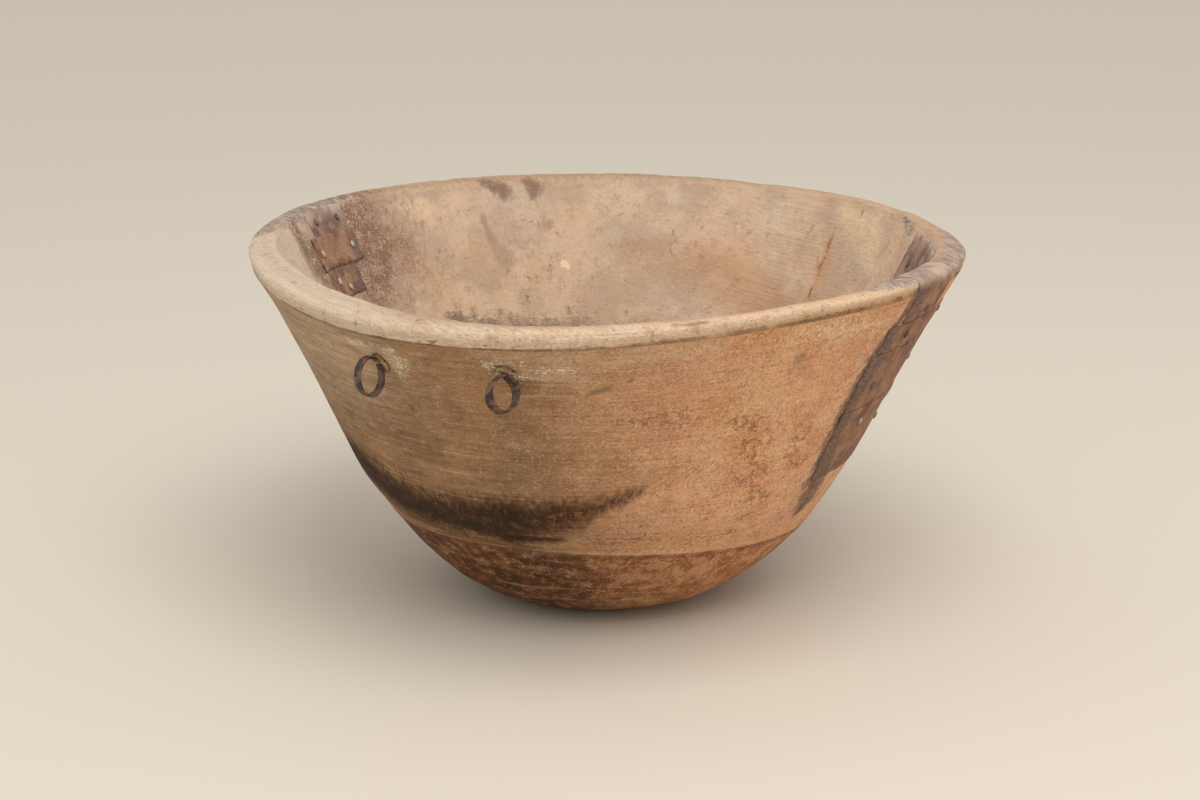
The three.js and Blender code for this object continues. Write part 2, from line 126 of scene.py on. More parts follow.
# %% Work out the section
def turned_section():
    """Rows of distance from the crown, radius and height, from the middle of the foot to the middle
    of the floor. The distance is the length walked along the curve."""
    foot_edge = np.array([FOOT_RADIUS, 0.0])
    belly_start = foot_edge + leaning(BELLY_LEAN_LOW, FOOT_ROUND)
    step_under = np.array([STEP_RADIUS - STEP_DEPTH, STEP_HEIGHT - STEP_DEPTH])
    step_over = np.array([STEP_RADIUS, STEP_HEIGHT])
    groove_low = np.array([LIP_RADIUS - LIP_OVERHANG, BOWL_HEIGHT - LIP_DEPTH - GROOVE_WIDTH])
    groove_deep = groove_low + [leaning(WALL_LEAN_HIGH, GROOVE_WIDTH / 2)[0] - GROOVE_DEPTH, GROOVE_WIDTH / 2]
    lip_start = np.array([LIP_RADIUS - LIP_BULGE, BOWL_HEIGHT - LIP_DEPTH])
    crown = np.array([LIP_RADIUS - CROWN_IN, BOWL_HEIGHT])
    lip_inner = np.array([LIP_RADIUS - LIP_THICKNESS, BOWL_HEIGHT - LIP_INNER_DROP])
    belly_reach = np.linalg.norm(step_under - belly_start) / 3
    wall_reach = np.linalg.norm(groove_low - step_over) / 3
    outside = np.vstack([
        np.linspace([0.0, 0.0], foot_edge, 100),
        cubic(
            belly_start, belly_start + leaning(BELLY_LEAN_LOW, belly_reach),
            step_under - leaning(BELLY_LEAN_HIGH, belly_reach), step_under,
        ),
        cubic(
            step_over, step_over + leaning(WALL_LEAN_LOW, wall_reach),
            groove_low - leaning(WALL_LEAN_HIGH, wall_reach), groove_low,
        ),
        cubic(groove_low, groove_deep, groove_deep, lip_start, 40),
        cubic(
            lip_start, np.array([LIP_RADIUS + LIP_BULGE, BOWL_HEIGHT - 0.55 * LIP_DEPTH]),
            np.array([LIP_RADIUS - 1, BOWL_HEIGHT - 0.3]), crown,
        ),
    ])
    inside = np.vstack([
        cubic(
            crown, np.array([LIP_RADIUS - 0.85 * LIP_THICKNESS, BOWL_HEIGHT]),
            lip_inner + leaning(HOLLOW_LEAN - 15, 3), lip_inner,
        ),
        cubic(
            lip_inner, lip_inner - leaning(HOLLOW_LEAN, HOLLOW_REACH),
            np.array([FLOOR_REACH, FLOOR_THICKNESS]), np.array([0.0, FLOOR_THICKNESS]),
        ),
    ])
    points = np.vstack([outside, inside])
    walked = np.concatenate([[0.0], np.cumsum(np.linalg.norm(np.diff(points, axis=0), axis=1))])
    return np.column_stack([walked[len(outside) - 1] - walked, points])


SECTION = turned_section()
FOOT_CENTRE, FLOOR_CENTRE = SECTION[0, 0], SECTION[-1, 0]
WALKED_UP = SECTION[SECTION[:, 0] > 0]
STEP_DISTANCE = float(np.interp(STEP_HEIGHT - 0.1, WALKED_UP[:, 2], WALKED_UP[:, 0]))
print("from the crown, mm: step", round(STEP_DISTANCE, 1), "foot centre", round(FOOT_CENTRE, 1))
print("floor centre", round(FLOOR_CENTRE, 1))

# %% [markdown]
# ## How the wood has moved
#
# Wood shrinks more across its rings than along them, so an old bowl is no longer round: the mouth is a
# little oval and the rim dips and rises. The turned form is kept, and a warp made of a few whole waves
# round the bowl moves each point of it. The hand that cut the surface is added last, as a small offset
# along the surface's normal from a lattice of random values. A lattice of values is used rather than
# Blender's noise because it closes on itself round the bowl and can be asked for at any point.

# %% The warp, with the same waves as the model: whole waves, height in millimetres, first crest
SWELLINGS = ((1, 3.7, 27.7), (2, 1.5, 98.3), (3, 1.4, 29.1), (4, 3.3, 72.0))
RIM_WAVES = ((1, 1.5, 20.9), (2, 3.0, 127.4))
LIP_SLOPE_WAVES = ((2, 4.3, 14.1),)
GROOVE_WAVES = ((1, 1.2, 53.5), (2, 4.1, 61.8))
GROOVE_WAVE_SPAN = 12.0
STEP_RISE = 14.4
STEP_RISE_TOWARDS = -107.0
STEP_RISE_SPAN = 42.0
OUTSIDE_BLEND = 6.0
print(len(SWELLINGS) + len(RIM_WAVES) + len(LIP_SLOPE_WAVES) + len(GROOVE_WAVES), "waves in the warp")


# %% Smooth steps, angles and waves
def smooth(value, low, high):
    """0 below low and 1 above high, with a smooth step 3t^2 - 2t^3 between."""
    t = np.clip((value - low) / (high - low), 0, 1)
    return t * t * (3 - 2 * t)


def angle_from(angle, other):
    """How far an angle is on from another, from -180 to 180 degrees."""
    return np.mod(angle - other + 180, 360) - 180


def wave_sum(waves, angle):
    """The sum of height times cosine of (count times the angle from the first crest)."""
    return sum(height * np.cos(count * np.radians(angle - crest)) for count, height, crest in waves)


# %% Move a turned point as the wood has moved
def dried(radius, height, angle, outside):
    """The turned point (radius, height) at an angle, moved as the wood has moved. The radius swells
    with the height up the wall, the rim waves up and down, the lip slopes, and outside the step and
    the groove wander."""
    level = height / BOWL_HEIGHT
    lip_share = smooth(height, BOWL_HEIGHT - 3 * LIP_THICKNESS, BOWL_HEIGHT)
    inward = smooth(LIP_RADIUS - radius, 0, LIP_THICKNESS) * lip_share
    swollen = radius * (1 + level * wave_sum(SWELLINGS, angle) / LIP_RADIUS)
    z = height + level**2 * wave_sum(RIM_WAVES, angle) + wave_sum(LIP_SLOPE_WAVES, angle) * inward
    step_share = smooth(STEP_RISE_SPAN - np.abs(height - STEP_HEIGHT), 0, STEP_RISE_SPAN)
    front_share = (1 + np.cos(np.radians(angle - STEP_RISE_TOWARDS))) / 2
    groove_off = np.abs(height - (BOWL_HEIGHT - LIP_DEPTH - GROOVE_WIDTH / 2))
    z = z + outside * STEP_RISE * front_share**2 * step_share
    z = z - outside * wave_sum(GROOVE_WAVES, angle) * np.clip(1 - groove_off / GROOVE_WAVE_SPAN, 0, None)
    turn = np.radians(angle)
    return np.stack([swollen * np.cos(turn), swollen * np.sin(turn), z], axis=-1)


# %% An uneven field for the work of the hand
def wander(distance, angle, long, wide, seed):
    """An uneven field from -1 to 1: a random value at each crossing of a lattice, long millimetres by
    wide degrees, that closes on itself round the bowl, with smooth steps between the crossings."""
    columns = round(360 / wide)
    rows = int((FOOT_CENTRE - FLOOR_CENTRE) / long) + 3
    lattice = np.random.default_rng(seed).uniform(-1, 1, (rows, columns))
    v = (distance - FLOOR_CENTRE) / long
    u = np.mod(angle / 360, 1) * columns
    i, j = np.floor(v).astype(int), np.floor(u).astype(int)
    fv, fu = smooth(v - i, 0, 1), smooth(u - j, 0, 1)
    corner = lambda down, across: lattice[np.clip(i + down, 0, rows - 1), (j + across) % columns]
    near = corner(0, 0) * (1 - fu) + corner(0, 1) * fu
    far = corner(1, 0) * (1 - fu) + corner(1, 1) * fu
    return near * (1 - fv) + far * fv


# %% [markdown]
# The hand work is small: lumps of a third of a millimetre on the walls, finer tool marks, and a rim that
# is worn and knocked. It could be bump in the finish, but the rim's outline would stay clean, so it
# moves the points.

# %% How unevenly the surface was cut and how the rim has worn
RIM_REACH = 14.0
BASE_EASE = 6.0
FOOT_EASE = 10.0
WORN_FROM, WORN_TO = -111.6, -103.0
WORN_AT, WORN_SPAN, WORN_DEPTH = -9.0, 7.0, 2.2
# Places where the rim is worn or knocked: distance, angle, millimetres down the section, degrees
# round, and depth.
KNOCKS = (
    (8, -77.3, 3.5, 1.2, 1.4),
    (-8, -75.5, 5, 3.2, 1.3),
    (6, -121.0, 4, 1.5, 0.7),
    (4, -139.0, 5, 1.0, 0.5),
    (9, -96.0, 3, 1.3, 0.5),
    (-5, 60.0, 6, 2.0, 0.9),
    (5, 120.0, 5, 1.5, 0.7),
    (3, 8.0, 6, 1.5, 1.2),
)


def hand_work(distance, angle):
    """How far the surface stands off the clean form, in millimetres: broad lumps on the walls, finer
    tool marks, a worn uneven rim, a rougher base, and a dent for each knock, as a Gaussian dip."""
    rim = smooth(-np.abs(distance), -RIM_REACH, -RIM_REACH / 2)
    below_step = smooth(distance, STEP_DISTANCE, STEP_DISTANCE + BASE_EASE)
    inside = smooth(-distance, 12, 30)
    height = 0.28 * wander(distance, angle, 34, 12, 1) + 0.10 * wander(distance, angle, 8, 6, 2)
    height += rim * (0.45 * wander(distance, angle, 8, 6, 3) + 0.25 * wander(distance, angle, 4, 2, 4))
    rough_base = 0.35 * wander(distance, angle, 16, 10, 5) + 0.2 * wander(distance, angle, 7, 5, 6)
    height += below_step * rough_base + inside * 0.3 * wander(distance, angle, 22, 9, 7)
    foot_edge = FOOT_CENTRE - FOOT_RADIUS
    height *= 1 - smooth(distance, foot_edge - FOOT_EASE, foot_edge - 2.5)
    worn = smooth(angle_from(angle, WORN_FROM), -0.4, 0.4) * smooth(-angle_from(angle, WORN_TO), -9, 6)
    height = height - WORN_DEPTH * worn * np.exp(-(((distance - WORN_AT) / WORN_SPAN) ** 2))
    for down, turn, long, wide, depth in KNOCKS:
        off = ((distance - down) / long) ** 2 + (angle_from(angle, turn) / wide) ** 2
        height = height - depth * np.exp(-off)
    return height


print(len(KNOCKS), "knocks in the rim, up to", max(row[-1] for row in KNOCKS), "mm deep")

# %% Points of the bowl's surface
GROOVE_SPAN = (15.2, 19.4)
HALF_STEP, HALF_TURN = 0.6, 0.4


def on_bowl(distance, angle, offset=0.0, worked=True, bridged=False):
    """Points of the bowl's surface at distances from the crown and angles round it, moved off it by
    an offset. The normal is the cross product of the slopes down the section and round the bowl. A
    sheet that is bridged runs straight over the groove."""
    distance, angle = np.broadcast_arrays(np.asarray(distance, float), np.asarray(angle, float))

    def clean(d, a):
        radius = np.interp(-d, -SECTION[:, 0], SECTION[:, 1])
        height = np.interp(-d, -SECTION[:, 0], SECTION[:, 2])
        return dried(radius, height, a, smooth(d, 0, OUTSIDE_BLEND))

    if bridged:
        share = np.clip((distance - GROOVE_SPAN[0]) / (GROOVE_SPAN[1] - GROOVE_SPAN[0]), 0, 1)[..., None]
        inside_span = (share > 0) & (share < 1)
        ends = [clean(np.full_like(distance, end), angle) for end in GROOVE_SPAN]
        here = np.where(inside_span, ends[0] * (1 - share) + ends[1] * share, clean(distance, angle))
    else:
        here = clean(distance, angle)
    down = clean(distance + HALF_STEP, angle) - clean(distance - HALF_STEP, angle)
    round_it = clean(distance, angle + HALF_TURN) - clean(distance, angle - HALF_TURN)
    normal = np.cross(down, round_it)
    length = np.linalg.norm(normal, axis=-1, keepdims=True)
    pole = np.stack([np.zeros_like(distance), np.zeros_like(distance), -np.sign(distance)], axis=-1)
    normal = np.where(length > 1e-6, normal / np.maximum(length, 1e-6), pole)
    away = offset + (hand_work(distance, angle) if worked else 0.0)
    return here + normal * np.asarray(away)[..., None]


mouth = on_bowl(0.0, np.arange(0.0, 360.0, 5.0))
print("mouth across X and Y, mm:", np.round(np.ptp(mouth[:, :2], axis=0), 1))

# %% [markdown]
# ## From points to pieces
#
# Every piece is a mesh whose points are worked out as arrays in millimetres. Blender's own primitives
# and modifiers could shape each piece, but their points can't be asked for by distance and angle, and
# here every piece has to follow the same worn bowl. One helper puts the points into Blender in metres,
# gives the piece its finish, lets it ride on its body and hides the node of the imported model that it
# stands for.

# %% The helper that makes a piece
def make_piece(name, points, faces, body, material, node, fields=None):
    """A mesh object from points in millimetres and faces as index lists, shaded smooth. Each field is
    one number for each point, kept as an attribute that the finish can read."""
    mesh = bpy.data.meshes.new(name)
    mesh.from_pydata((np.asarray(points) * MM).tolist(), [], faces)
    for field, values in (fields or {}).items():
        attribute = mesh.attributes.new(field, "FLOAT", "POINT")
        attribute.data.foreach_set("value", np.asarray(values, np.float32))
    work = bmesh.new()
    work.from_mesh(mesh)
    bmesh.ops.recalc_face_normals(work, faces=work.faces)
    work.to_mesh(mesh)
    work.free()
    mesh.polygons.foreach_set("use_smooth", [True] * len(mesh.polygons))
    mesh.materials.append(material)
    piece = bpy.data.objects.new(name, mesh)
    bpy.context.scene.collection.objects.link(piece)
    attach(piece, body)
    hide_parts(node)


# %% Faces between the points of a grid
def grid_faces(rows, columns, start=0, closed=False):
    """Quads between neighbours on a grid of rows by columns, numbered row by row. A closed grid joins
    its last column to its first."""
    i, j = np.meshgrid(np.arange(rows - 1), np.arange(columns if closed else columns - 1), indexing="ij")
    right = (j + 1) % columns
    here, below = i * columns, (i + 1) * columns
    quads = np.stack([here + j, here + right, below + right, below + j], -1)
    return (quads + start).reshape(-1, 4)


def capped_faces(rows, columns):
    """A closed grid with a fan of triangles at each end. The two fans meet at two points that come
    after the grid's."""
    last = rows * columns
    around = np.arange(columns)
    onward = (around + 1) % columns
    start = np.stack([around, onward, np.full(columns, last)], -1)
    end = np.stack([onward, around, np.full(columns, last + 1)], -1) + [last - columns, last - columns, 0]
    return grid_faces(rows, columns, closed=True).tolist() + start.tolist() + end.tolist()


# %% [markdown]
# ## Writing a finish as arithmetic
#
# A finish is a small sum: this tone here, that one there, darker in the pores. Wired by hand in the
# node editor such a sum soon can't be read. So a wire, which is one output of one node, is wrapped in
# a small class whose plus, minus and times add the Math node. Any other node comes from one method.
# Lengths inside a finish are millimetres, as in the rest of the notebook.

# %% A colour and a wire
def tone(code):
    """A colour written as six hex digits, as light: the usual curve for each channel."""
    channels = [int(code[i : i + 2], 16) / 255 for i in (0, 2, 4)]
    return tuple(c / 12.92 if c <= 0.04045 else ((c + 0.055) / 1.055) ** 2.4 for c in channels) + (1.0,)


class Wire:
    """One output of a shader node. Arithmetic with it adds a Math node."""

    def __init__(self, finish, socket):
        self.finish = finish
        self.socket = socket

    def math(self, operation, first, second):
        return self.finish.node("ShaderNodeMath", {"operation": operation}, {0: first, 1: second})

    def __add__(self, other):
        return self.math("ADD", self, other)

    def __radd__(self, other):
        return self.math("ADD", other, self)

    def __sub__(self, other):
        return self.math("SUBTRACT", self, other)

    def __rsub__(self, other):
        return self.math("SUBTRACT", other, self)

    def __mul__(self, other):
        return self.math("MULTIPLY", self, other)

    def __rmul__(self, other):
        return self.math("MULTIPLY", other, self)

    def __abs__(self):
        return self.math("ABSOLUTE", self, 0.0)


# %% A finish
class Finish:
    """A material whose nodes are added by name."""

    def __init__(self, name):
        self.material = bpy.data.materials.new(name)
        self.material.use_nodes = True
        self.tree = self.material.node_tree
        self.shader = self.tree.nodes["Principled BSDF"]

    def node(self, kind, settings=None, sockets=None, output=0):
        """Adds a node: its settings first, then the value or wire of each socket."""
        made = self.tree.nodes.new(kind)
        for key, value in (settings or {}).items():
            setattr(made, key, value)
        for key, value in (sockets or {}).items():
            self.join(value, made.inputs[key])
        return Wire(self, made.outputs[output])

    def join(self, value, socket):
        if isinstance(value, Wire):
            self.tree.links.new(value.socket, socket)
        else:
            socket.default_value = value

    def place(self):
        """Where the point is on the object, in millimetres."""
        here = self.node("ShaderNodeTexCoord", output="Object")
        return self.node("ShaderNodeVectorMath", {"operation": "SCALE"}, {0: here, "Scale": 1 / MM})

    def field(self, name):
        return self.node("ShaderNodeAttribute", {"attribute_name": name}, output="Fac")

    def stretched(self, vector, lengths, turn=0.0):
        """The place turned about the upright axis and divided by a length on each axis."""
        return self.node(
            "ShaderNodeMapping", {"vector_type": "TEXTURE"},
            {"Vector": vector, "Rotation": (0, 0, math.radians(turn)), "Scale": lengths},
        )

    def noise(self, vector, size, detail=3.0, rough=0.55):
        """Blender's noise with features about that size, mostly from 0.25 to 0.75."""
        return self.node(
            "ShaderNodeTexNoise", {},
            {"Vector": vector, "Scale": 1 / size, "Detail": detail, "Roughness": rough},
        )

    def cells(self, vector, size):
        """How far the nearest of a scatter of points is, in cells of that size."""
        return self.node("ShaderNodeTexVoronoi", {}, {"Vector": vector, "Scale": 1 / size}, "Distance")

    def ramp(self, value, low, high, start=0.0, end=1.0):
        """From start at low to end at high, with a smooth step."""
        return self.node(
            "ShaderNodeMapRange", {"interpolation_type": "SMOOTHSTEP"},
            {"Value": value, "From Min": low, "From Max": high, "To Min": start, "To Max": end},
        )

    def mix(self, share, under, over, kind="MIX"):
        """The under colour with a share of the over colour on it. A colour is a wire or six hex
        digits."""
        under, over = (tone(c) if isinstance(c, str) else c for c in (under, over))
        return self.node(
            "ShaderNodeMix", {"data_type": "RGBA", "blend_type": kind}, {0: share, 6: under, 7: over}, 2
        )

    def done(self, colour, roughness, height, metallic=0.0, specular=0.5):
        """Joins the sums to the shader. The height is in millimetres."""
        self.join(colour, self.shader.inputs["Base Color"])
        self.join(roughness, self.shader.inputs["Roughness"])
        self.join(metallic, self.shader.inputs["Metallic"])
        self.shader.inputs["Specular IOR Level"].default_value = specular
        bump = self.node("ShaderNodeBump", {}, {"Strength": 1.0, "Distance": MM, "Height": height}, "Normal")
        self.join(bump, self.shader.inputs["Normal"])
        return self.material


# %% [markdown]
# ## Stains and marks
#
# The bowl has scorched, stained, bleached and chalky places with ragged edges. Painting them in the
# shader alone would take hundreds of nodes. Instead each kind of mark is a field on the mesh: strokes
# with a centre line and a half width, which run from 1 on the line to 0 at the edge. The fine ragged
# edge comes later, when the finish adds noise to the field before it cuts it off.

# %% Fields made of strokes
def strokes(distance, angle, *routes):
    """For each point, 1 minus the distance to the nearest stroke over its half width there, and never
    below 0. A route is rows of distance from the crown, angle and half width, in millimetres and
    degrees. Between rows all three run straight."""
    scale = np.radians(1) * np.maximum(np.interp(-distance, -SECTION[:, 0], SECTION[:, 1]), 1)
    field = np.zeros_like(distance)
    for route in routes:
        rows = np.array(route if len(route) > 1 else [*route, *route], float)
        for (d0, a0, w0), (d1, a1, w1) in zip(rows, rows[1:]):
            x, y = distance - d0, angle_from(angle, a0) * scale
            run_x, run_y = d1 - d0, (a1 - a0) * scale
            t = np.clip((x * run_x + y * run_y) / np.maximum(run_x**2 + run_y**2, 1e-6), 0, 1)
            away = np.hypot(x - t * run_x, y - t * run_y)
            field = np.maximum(field, 1 - away / (w0 + t * (w1 - w0)))
    return field


# %% [markdown]
# The marks could be drawn on a flat picture of the wall, but then they would move whenever the section
# did. Here each is a few rows of distance from the crown, angle and half width, read off the photograph,
# and a positive distance is outside.

# %% Where every stain and mark is
STAINS = {
    # outside: the scorch low on the left front
    "scorch": (
        ((140, -172, 14), (148, -158, 28), (163, -142, 37), (170, -129, 39), (170, -117, 39), (162, -107, 34),
         (154, -99, 25), (147, -93, 19), (140, -87, 14), (132, -82, 8)),
        ((190, -112, 14), (184, -100, 9)),
    ),
    # just inside the rim at the back two dark spots and the dark heartwood, and greyed parts of the lip
    "rim_spots": (
        ((-4, 113, 8), (-10, 109.5, 11), (-17, 109.5, 4)),
        ((-5, 104.5, 8), (-11, 103, 12), (-17, 103.5, 5)),
    ),
    "heartwood": (
        ((-6, 152, 42), (-20, 148, 72), (-38, 147, 78), (-55, 146, 56)),
        ((-14, 165, 13), (-34, 164, 18), (-54, 161, 18)),
    ),
    "grey_rim": (
        ((2, 175, 10), (2, 163, 18), (1, 150, 16), (2, 143, 8)),
        ((6, -22, 13), (5, -12, 12), (3, -2, 9), (0, 7, 5)),
        ((4, -44, 5), (2, -40, 10), (0, -36, 15)),
        ((-9, 17, 3), (-14, 12, 5)),
    ),
    # inside: a drip that has run down the back, and soot on the floor
    "drips": (
        ((-28, 114.6, 3), (-38, 114.5, 4), (-48, 114.0, 5)),
        ((-48, 113.6, 5), (-57, 112.6, 10), (-63, 111.6, 13), (-66, 111.0, 9)),
        ((-39.5, 101, 8),),
    ),
    "soot": (
        ((-98, 129, 10), (-107, 122, 20), (-118, 108, 30), (-124, 92, 32), (-124, 76, 16)),
        ((-132, 116, 30), (-150, 104, 44), (-160, 84, 34)),
    ),
    # outside small dark smudges and browned patches, and on both sides ochre and yellow stains
    "smudges": (
        ((56, -92, 4), (51, -88.5, 6)),
        ((46, -85.5, 4),),
        ((43, -57, 8),),
        ((72, -125.5, 3), (80, -124.2, 5)),
        ((88, -116.5, 4),),
        ((78, -114, 3), (80, -112, 3)),
        ((9, -80, 3), (9, -74, 2)),
    ),
    "browned": (
        ((150, -120, 18), (150, -108, 16)),
        ((176, -162, 17), (188, -148, 24), (200, -132, 22)),
        ((188, -118, 13), (184, -108, 9)),
        ((196, -140, 14), (202, -122, 14), (204, -106, 9)),
    ),
    "ochre": (
        ((80, -68, 20), (66, -76, 16), (56, -84, 8)),
        ((60, -47, 22), (38, -41, 12)),
        ((172, -33, 12), (150, -34, 10), (120, -36, 8)),
        ((22, -80, 5), (22, -62, 7), (22, -38, 8)),
        ((90, -62, 16), (118, -60, 20), (150, -54, 18)),
        ((-74, 130, 26), (-60, 136, 16)),
        ((-56, 68, 16), (-68, 56, 26), (-84, 48, 26)),
        ((-44, 36, 7), (-64, 35, 7)),
    ),
    "yellow": (
        ((-14, 36, 16), (-26, 26, 24), (-40, 22, 16)),
        ((-20, 128, 14), (-16, 134, 10)),
        ((33, -133, 8), (40, -124, 10)),
    ),
    # chalky dust round the eyes, and pitch beside the plates
    "chalk": (
        ((33, -133, 7), (31, -129, 10), (33, -124.5, 13), (40, -122.5, 11), (48, -122.5, 7)),
        ((48, -124.6, 4), (56, -123.6, 5)),
        ((42, -101.5, 6), (39, -99, 6), (36.5, -97, 4), (35, -94, 4)),
        ((34, -107, 7), (31, -104, 9), (33, -101.5, 6)),
    ),
    "pitch": (
        ((14, -34.6, 8), (26, -35.0, 9), (40, -36.8, 10), (62, -38.0, 10), (90, -38.2, 12), (126, -38.4, 14),
         (150, -36.5, 24), (168, -35.0, 22), (180, -34.6, 11)),
        ((-14, -10, 6), (-20, 0, 8), (-22, 8, 9), (-38, 9, 8)),
    ),
    # a tanned stretch inside on the right, pale dust outside under the lip, and a fresh chip inside
    "tanned": (((-58, 84, 16), (-70, 66, 26), (-88, 50, 34), (-88, 34, 24)),),
    "dusty": (
        ((23, -108, 8), (27, -96, 16), (28, -84, 14), (24, -72, 8)),
        ((40, -98, 16), (46, -92, 14)),
    ),
    "chips": (((-69, 98.4, 2.6), (-71, 97.2, 3.4)),),
    # outside on the right: flaked, finely cracked and chattered wood
    "flaked": (
        ((24, -60, 10), (28, -50, 20), (32, -42, 18), (48, -41, 12)),
        ((58, -42, 7), (86, -42, 6)),
    ),
    "checked": (
        ((78, -84, 14), (82, -76, 8)),
        ((86, -64, 16), (104, -60, 24), (130, -58, 22), (158, -55, 16)),
        ((104, -50, 14), (130, -47, 14)),
    ),
    "chatter": (((178, -98, 16), (180, -88, 22), (180, -78, 14)), ((188, -66, 12), (182, -58, 10)),),
}
print(len(STAINS), "kinds of stain in", sum(map(len, STAINS.values())), "strokes")

# %% [markdown]
# ## The bowl
#
# The wood is a grid: rows are stations along the section and columns are angles round it. An even grid
# would waste its faces on the floor, so the stations crowd together at the lip, the groove and the
# step, and the angles at the front. Two round bores go through the wall for the strap eyes. A Boolean
# would cut them but leave slivers that shade badly. Here a block of cells is taken out round each bore,
# inside and outside, and a collar of rings fills it from the block's edge to the bore's edge.

# %% Where the strap eyes sit, from the model's joints
EYE_HOLE_RADIUS = 5.0
EYES = {
    "left": {"radius": 11.3, "angle": -127.5, "down": 44.5, "droop": 1, "sway": 15, "twist": 6},
    "right": {"radius": 10.2, "angle": -104.2, "down": 39, "droop": 24, "sway": -16, "twist": 31},
}
for side, eye in EYES.items():
    joint = next(j for j in frame["joints"] if j["name"] == side + "_eye_turn")
    out = np.array(joint["axis"]) / np.linalg.norm(joint["axis"])
    out = out if out @ np.array([*joint["pos_m"][:2], 0]) > 0 else -out
    rise = np.subtract(*on_bowl(np.array([eye["down"] - 1, eye["down"] + 1]), eye["angle"], worked=False))
    up = rise - (rise @ out) * out
    up /= np.linalg.norm(up)
    eye["seat"] = np.array(joint["pos_m"]) / MM
    eye["axes"] = np.array([out, up, np.cross(out, up)])
    print(side, "eye sits at", np.round(eye["seat"], 1), "facing", np.round(out, 3))


# %% Find where a line through the wall meets a surface
SEARCH = np.linspace(14, 70, 57)
NEWTON_STEPS = 8


def meet(eye, y, z, distance, angle):
    """The distances and angles at which the surface has the places y and z across the eye's axis, on
    the side of the wall that the sign of the distance gives. Newton's steps: the slopes of the surface
    give the move that closes the gap."""
    across = lambda d, a: (on_bowl(d, a, worked=False) - eye["seat"]) @ eye["axes"][1:].T
    near = np.sign(distance) * SEARCH
    close = near[np.argmin(np.linalg.norm(across(near, angle), axis=-1))]
    distance = np.full(np.shape(y), float(close))
    angle = np.broadcast_to(np.asarray(angle, float), np.shape(y)).copy()
    for _ in range(NEWTON_STEPS):
        here = across(distance, angle)
        by_d = across(distance + 0.5, angle) - across(distance - 0.5, angle)
        by_a = (across(distance, angle + 0.25) - across(distance, angle - 0.25)) * 2
        miss_y, miss_z = y - here[..., 0], z - here[..., 1]
        area = by_d[..., 0] * by_a[..., 1] - by_a[..., 0] * by_d[..., 1]
        distance += (miss_y * by_a[..., 1] - by_a[..., 0] * miss_z) / area
        angle += (by_d[..., 0] * miss_z - miss_y * by_d[..., 1]) / area
    return distance, angle


# %% Lay out the grid
STATION_SPACING = 3.9
CLOSER_AT_LIP, CLOSER_AT_STEP, WIDER_ON_FLOOR = 2.7, 3.1, 4.0
COLUMNS = 440
FRONT_SHARE = 0.42
COLLAR_CELLS = 4
COLLAR_RINGS = 4
COLLAR_CROWD = 1.2


def stations():
    """Distances from the foot's middle to the floor's, with a spacing that shrinks near the lip, the
    groove and the step. The running sum of one over the spacing is cut into equal shares."""
    walk = np.linspace(FOOT_CENTRE, FLOOR_CENTRE, 6000)
    near_lip = smooth(-np.abs(walk - 5), -26, -12)
    near_step = smooth(-np.abs(walk - STEP_DISTANCE), -9, -2)
    on_floor = smooth(-walk, 180, 260)
    spacing = STATION_SPACING - CLOSER_AT_LIP * near_lip - CLOSER_AT_STEP * near_step
    spacing += WIDER_ON_FLOOR * on_floor
    count = np.concatenate([[0], np.cumsum(np.diff(-walk) / ((spacing[1:] + spacing[:-1]) / 2))])
    return np.interp(np.linspace(0, count[-1], round(count[-1]) + 1), count, walk)


def columns():
    """Angles round the bowl that crowd towards the front: an even turn plus a sine wave."""
    even = np.arange(COLUMNS) / COLUMNS * 2 * np.pi
    return np.degrees(even + FRONT_SHARE * np.cos(even))


ROWS = stations()
TURNS = columns()
print(len(ROWS), "stations by", len(TURNS), "columns")


# %% A collar round a bore
def collar(eye, side, d_grid, a_grid, first):
    """One collar: rings from the bore's edge out to the edge of a block of cells. Returns the block's
    corner, the rings' distances and angles, and the faces with the block's edge numbered by the grid."""
    centre_d, centre_a = meet(eye, np.zeros(1), np.zeros(1), eye["down"] * side, eye["angle"])
    i0 = int(np.argmin(np.abs(ROWS - centre_d[0]))) - COLLAR_CELLS
    j0 = int(np.argmin(np.abs(angle_from(TURNS, centre_a[0])))) - COLLAR_CELLS
    n = 2 * COLLAR_CELLS
    edge = [(0, k) for k in range(n)] + [(k, n) for k in range(n)]
    edge += [(n, n - k) for k in range(n)] + [(n - k, 0) for k in range(n)]
    i, j = np.array(edge).T + np.array([[i0], [j0]])
    j = j % COLUMNS
    border_d, border_a = d_grid[i, j], a_grid[i, j]
    border_a = centre_a[0] + angle_from(border_a, centre_a[0])
    flat = (on_bowl(border_d, border_a, worked=False) - eye["seat"]) @ eye["axes"][1:].T
    turn = np.arctan2(flat[:, 1], flat[:, 0])
    winding = np.sign(np.sum(np.sin(np.roll(turn, -1) - turn)))
    shift = int(np.argmin(np.abs(turn - np.pi / 4)))
    even = turn[shift] + winding * 2 * np.pi * (np.arange(len(i)) - shift) / len(i)
    y, z = EYE_HOLE_RADIUS * np.cos(even), EYE_HOLE_RADIUS * np.sin(even)
    bore_d, bore_a = meet(eye, y, z, centre_d[0], centre_a[0])
    share = (np.arange(COLLAR_RINGS) / COLLAR_RINGS)[:, None] ** COLLAR_CROWD
    rings_d = bore_d * (1 - share) + border_d * share
    rings_a = bore_a * (1 - share) + border_a * share
    inner = first + np.arange(COLLAR_RINGS * len(i)).reshape(COLLAR_RINGS, -1)
    whole = np.vstack([inner, i * COLUMNS + j])
    faces = np.stack([whole[:-1], np.roll(whole[:-1], -1, 1), np.roll(whole[1:], -1, 1), whole[1:]], -1)
    return (i0, j0), rings_d, rings_a, faces.reshape(-1, 4), inner[0], even


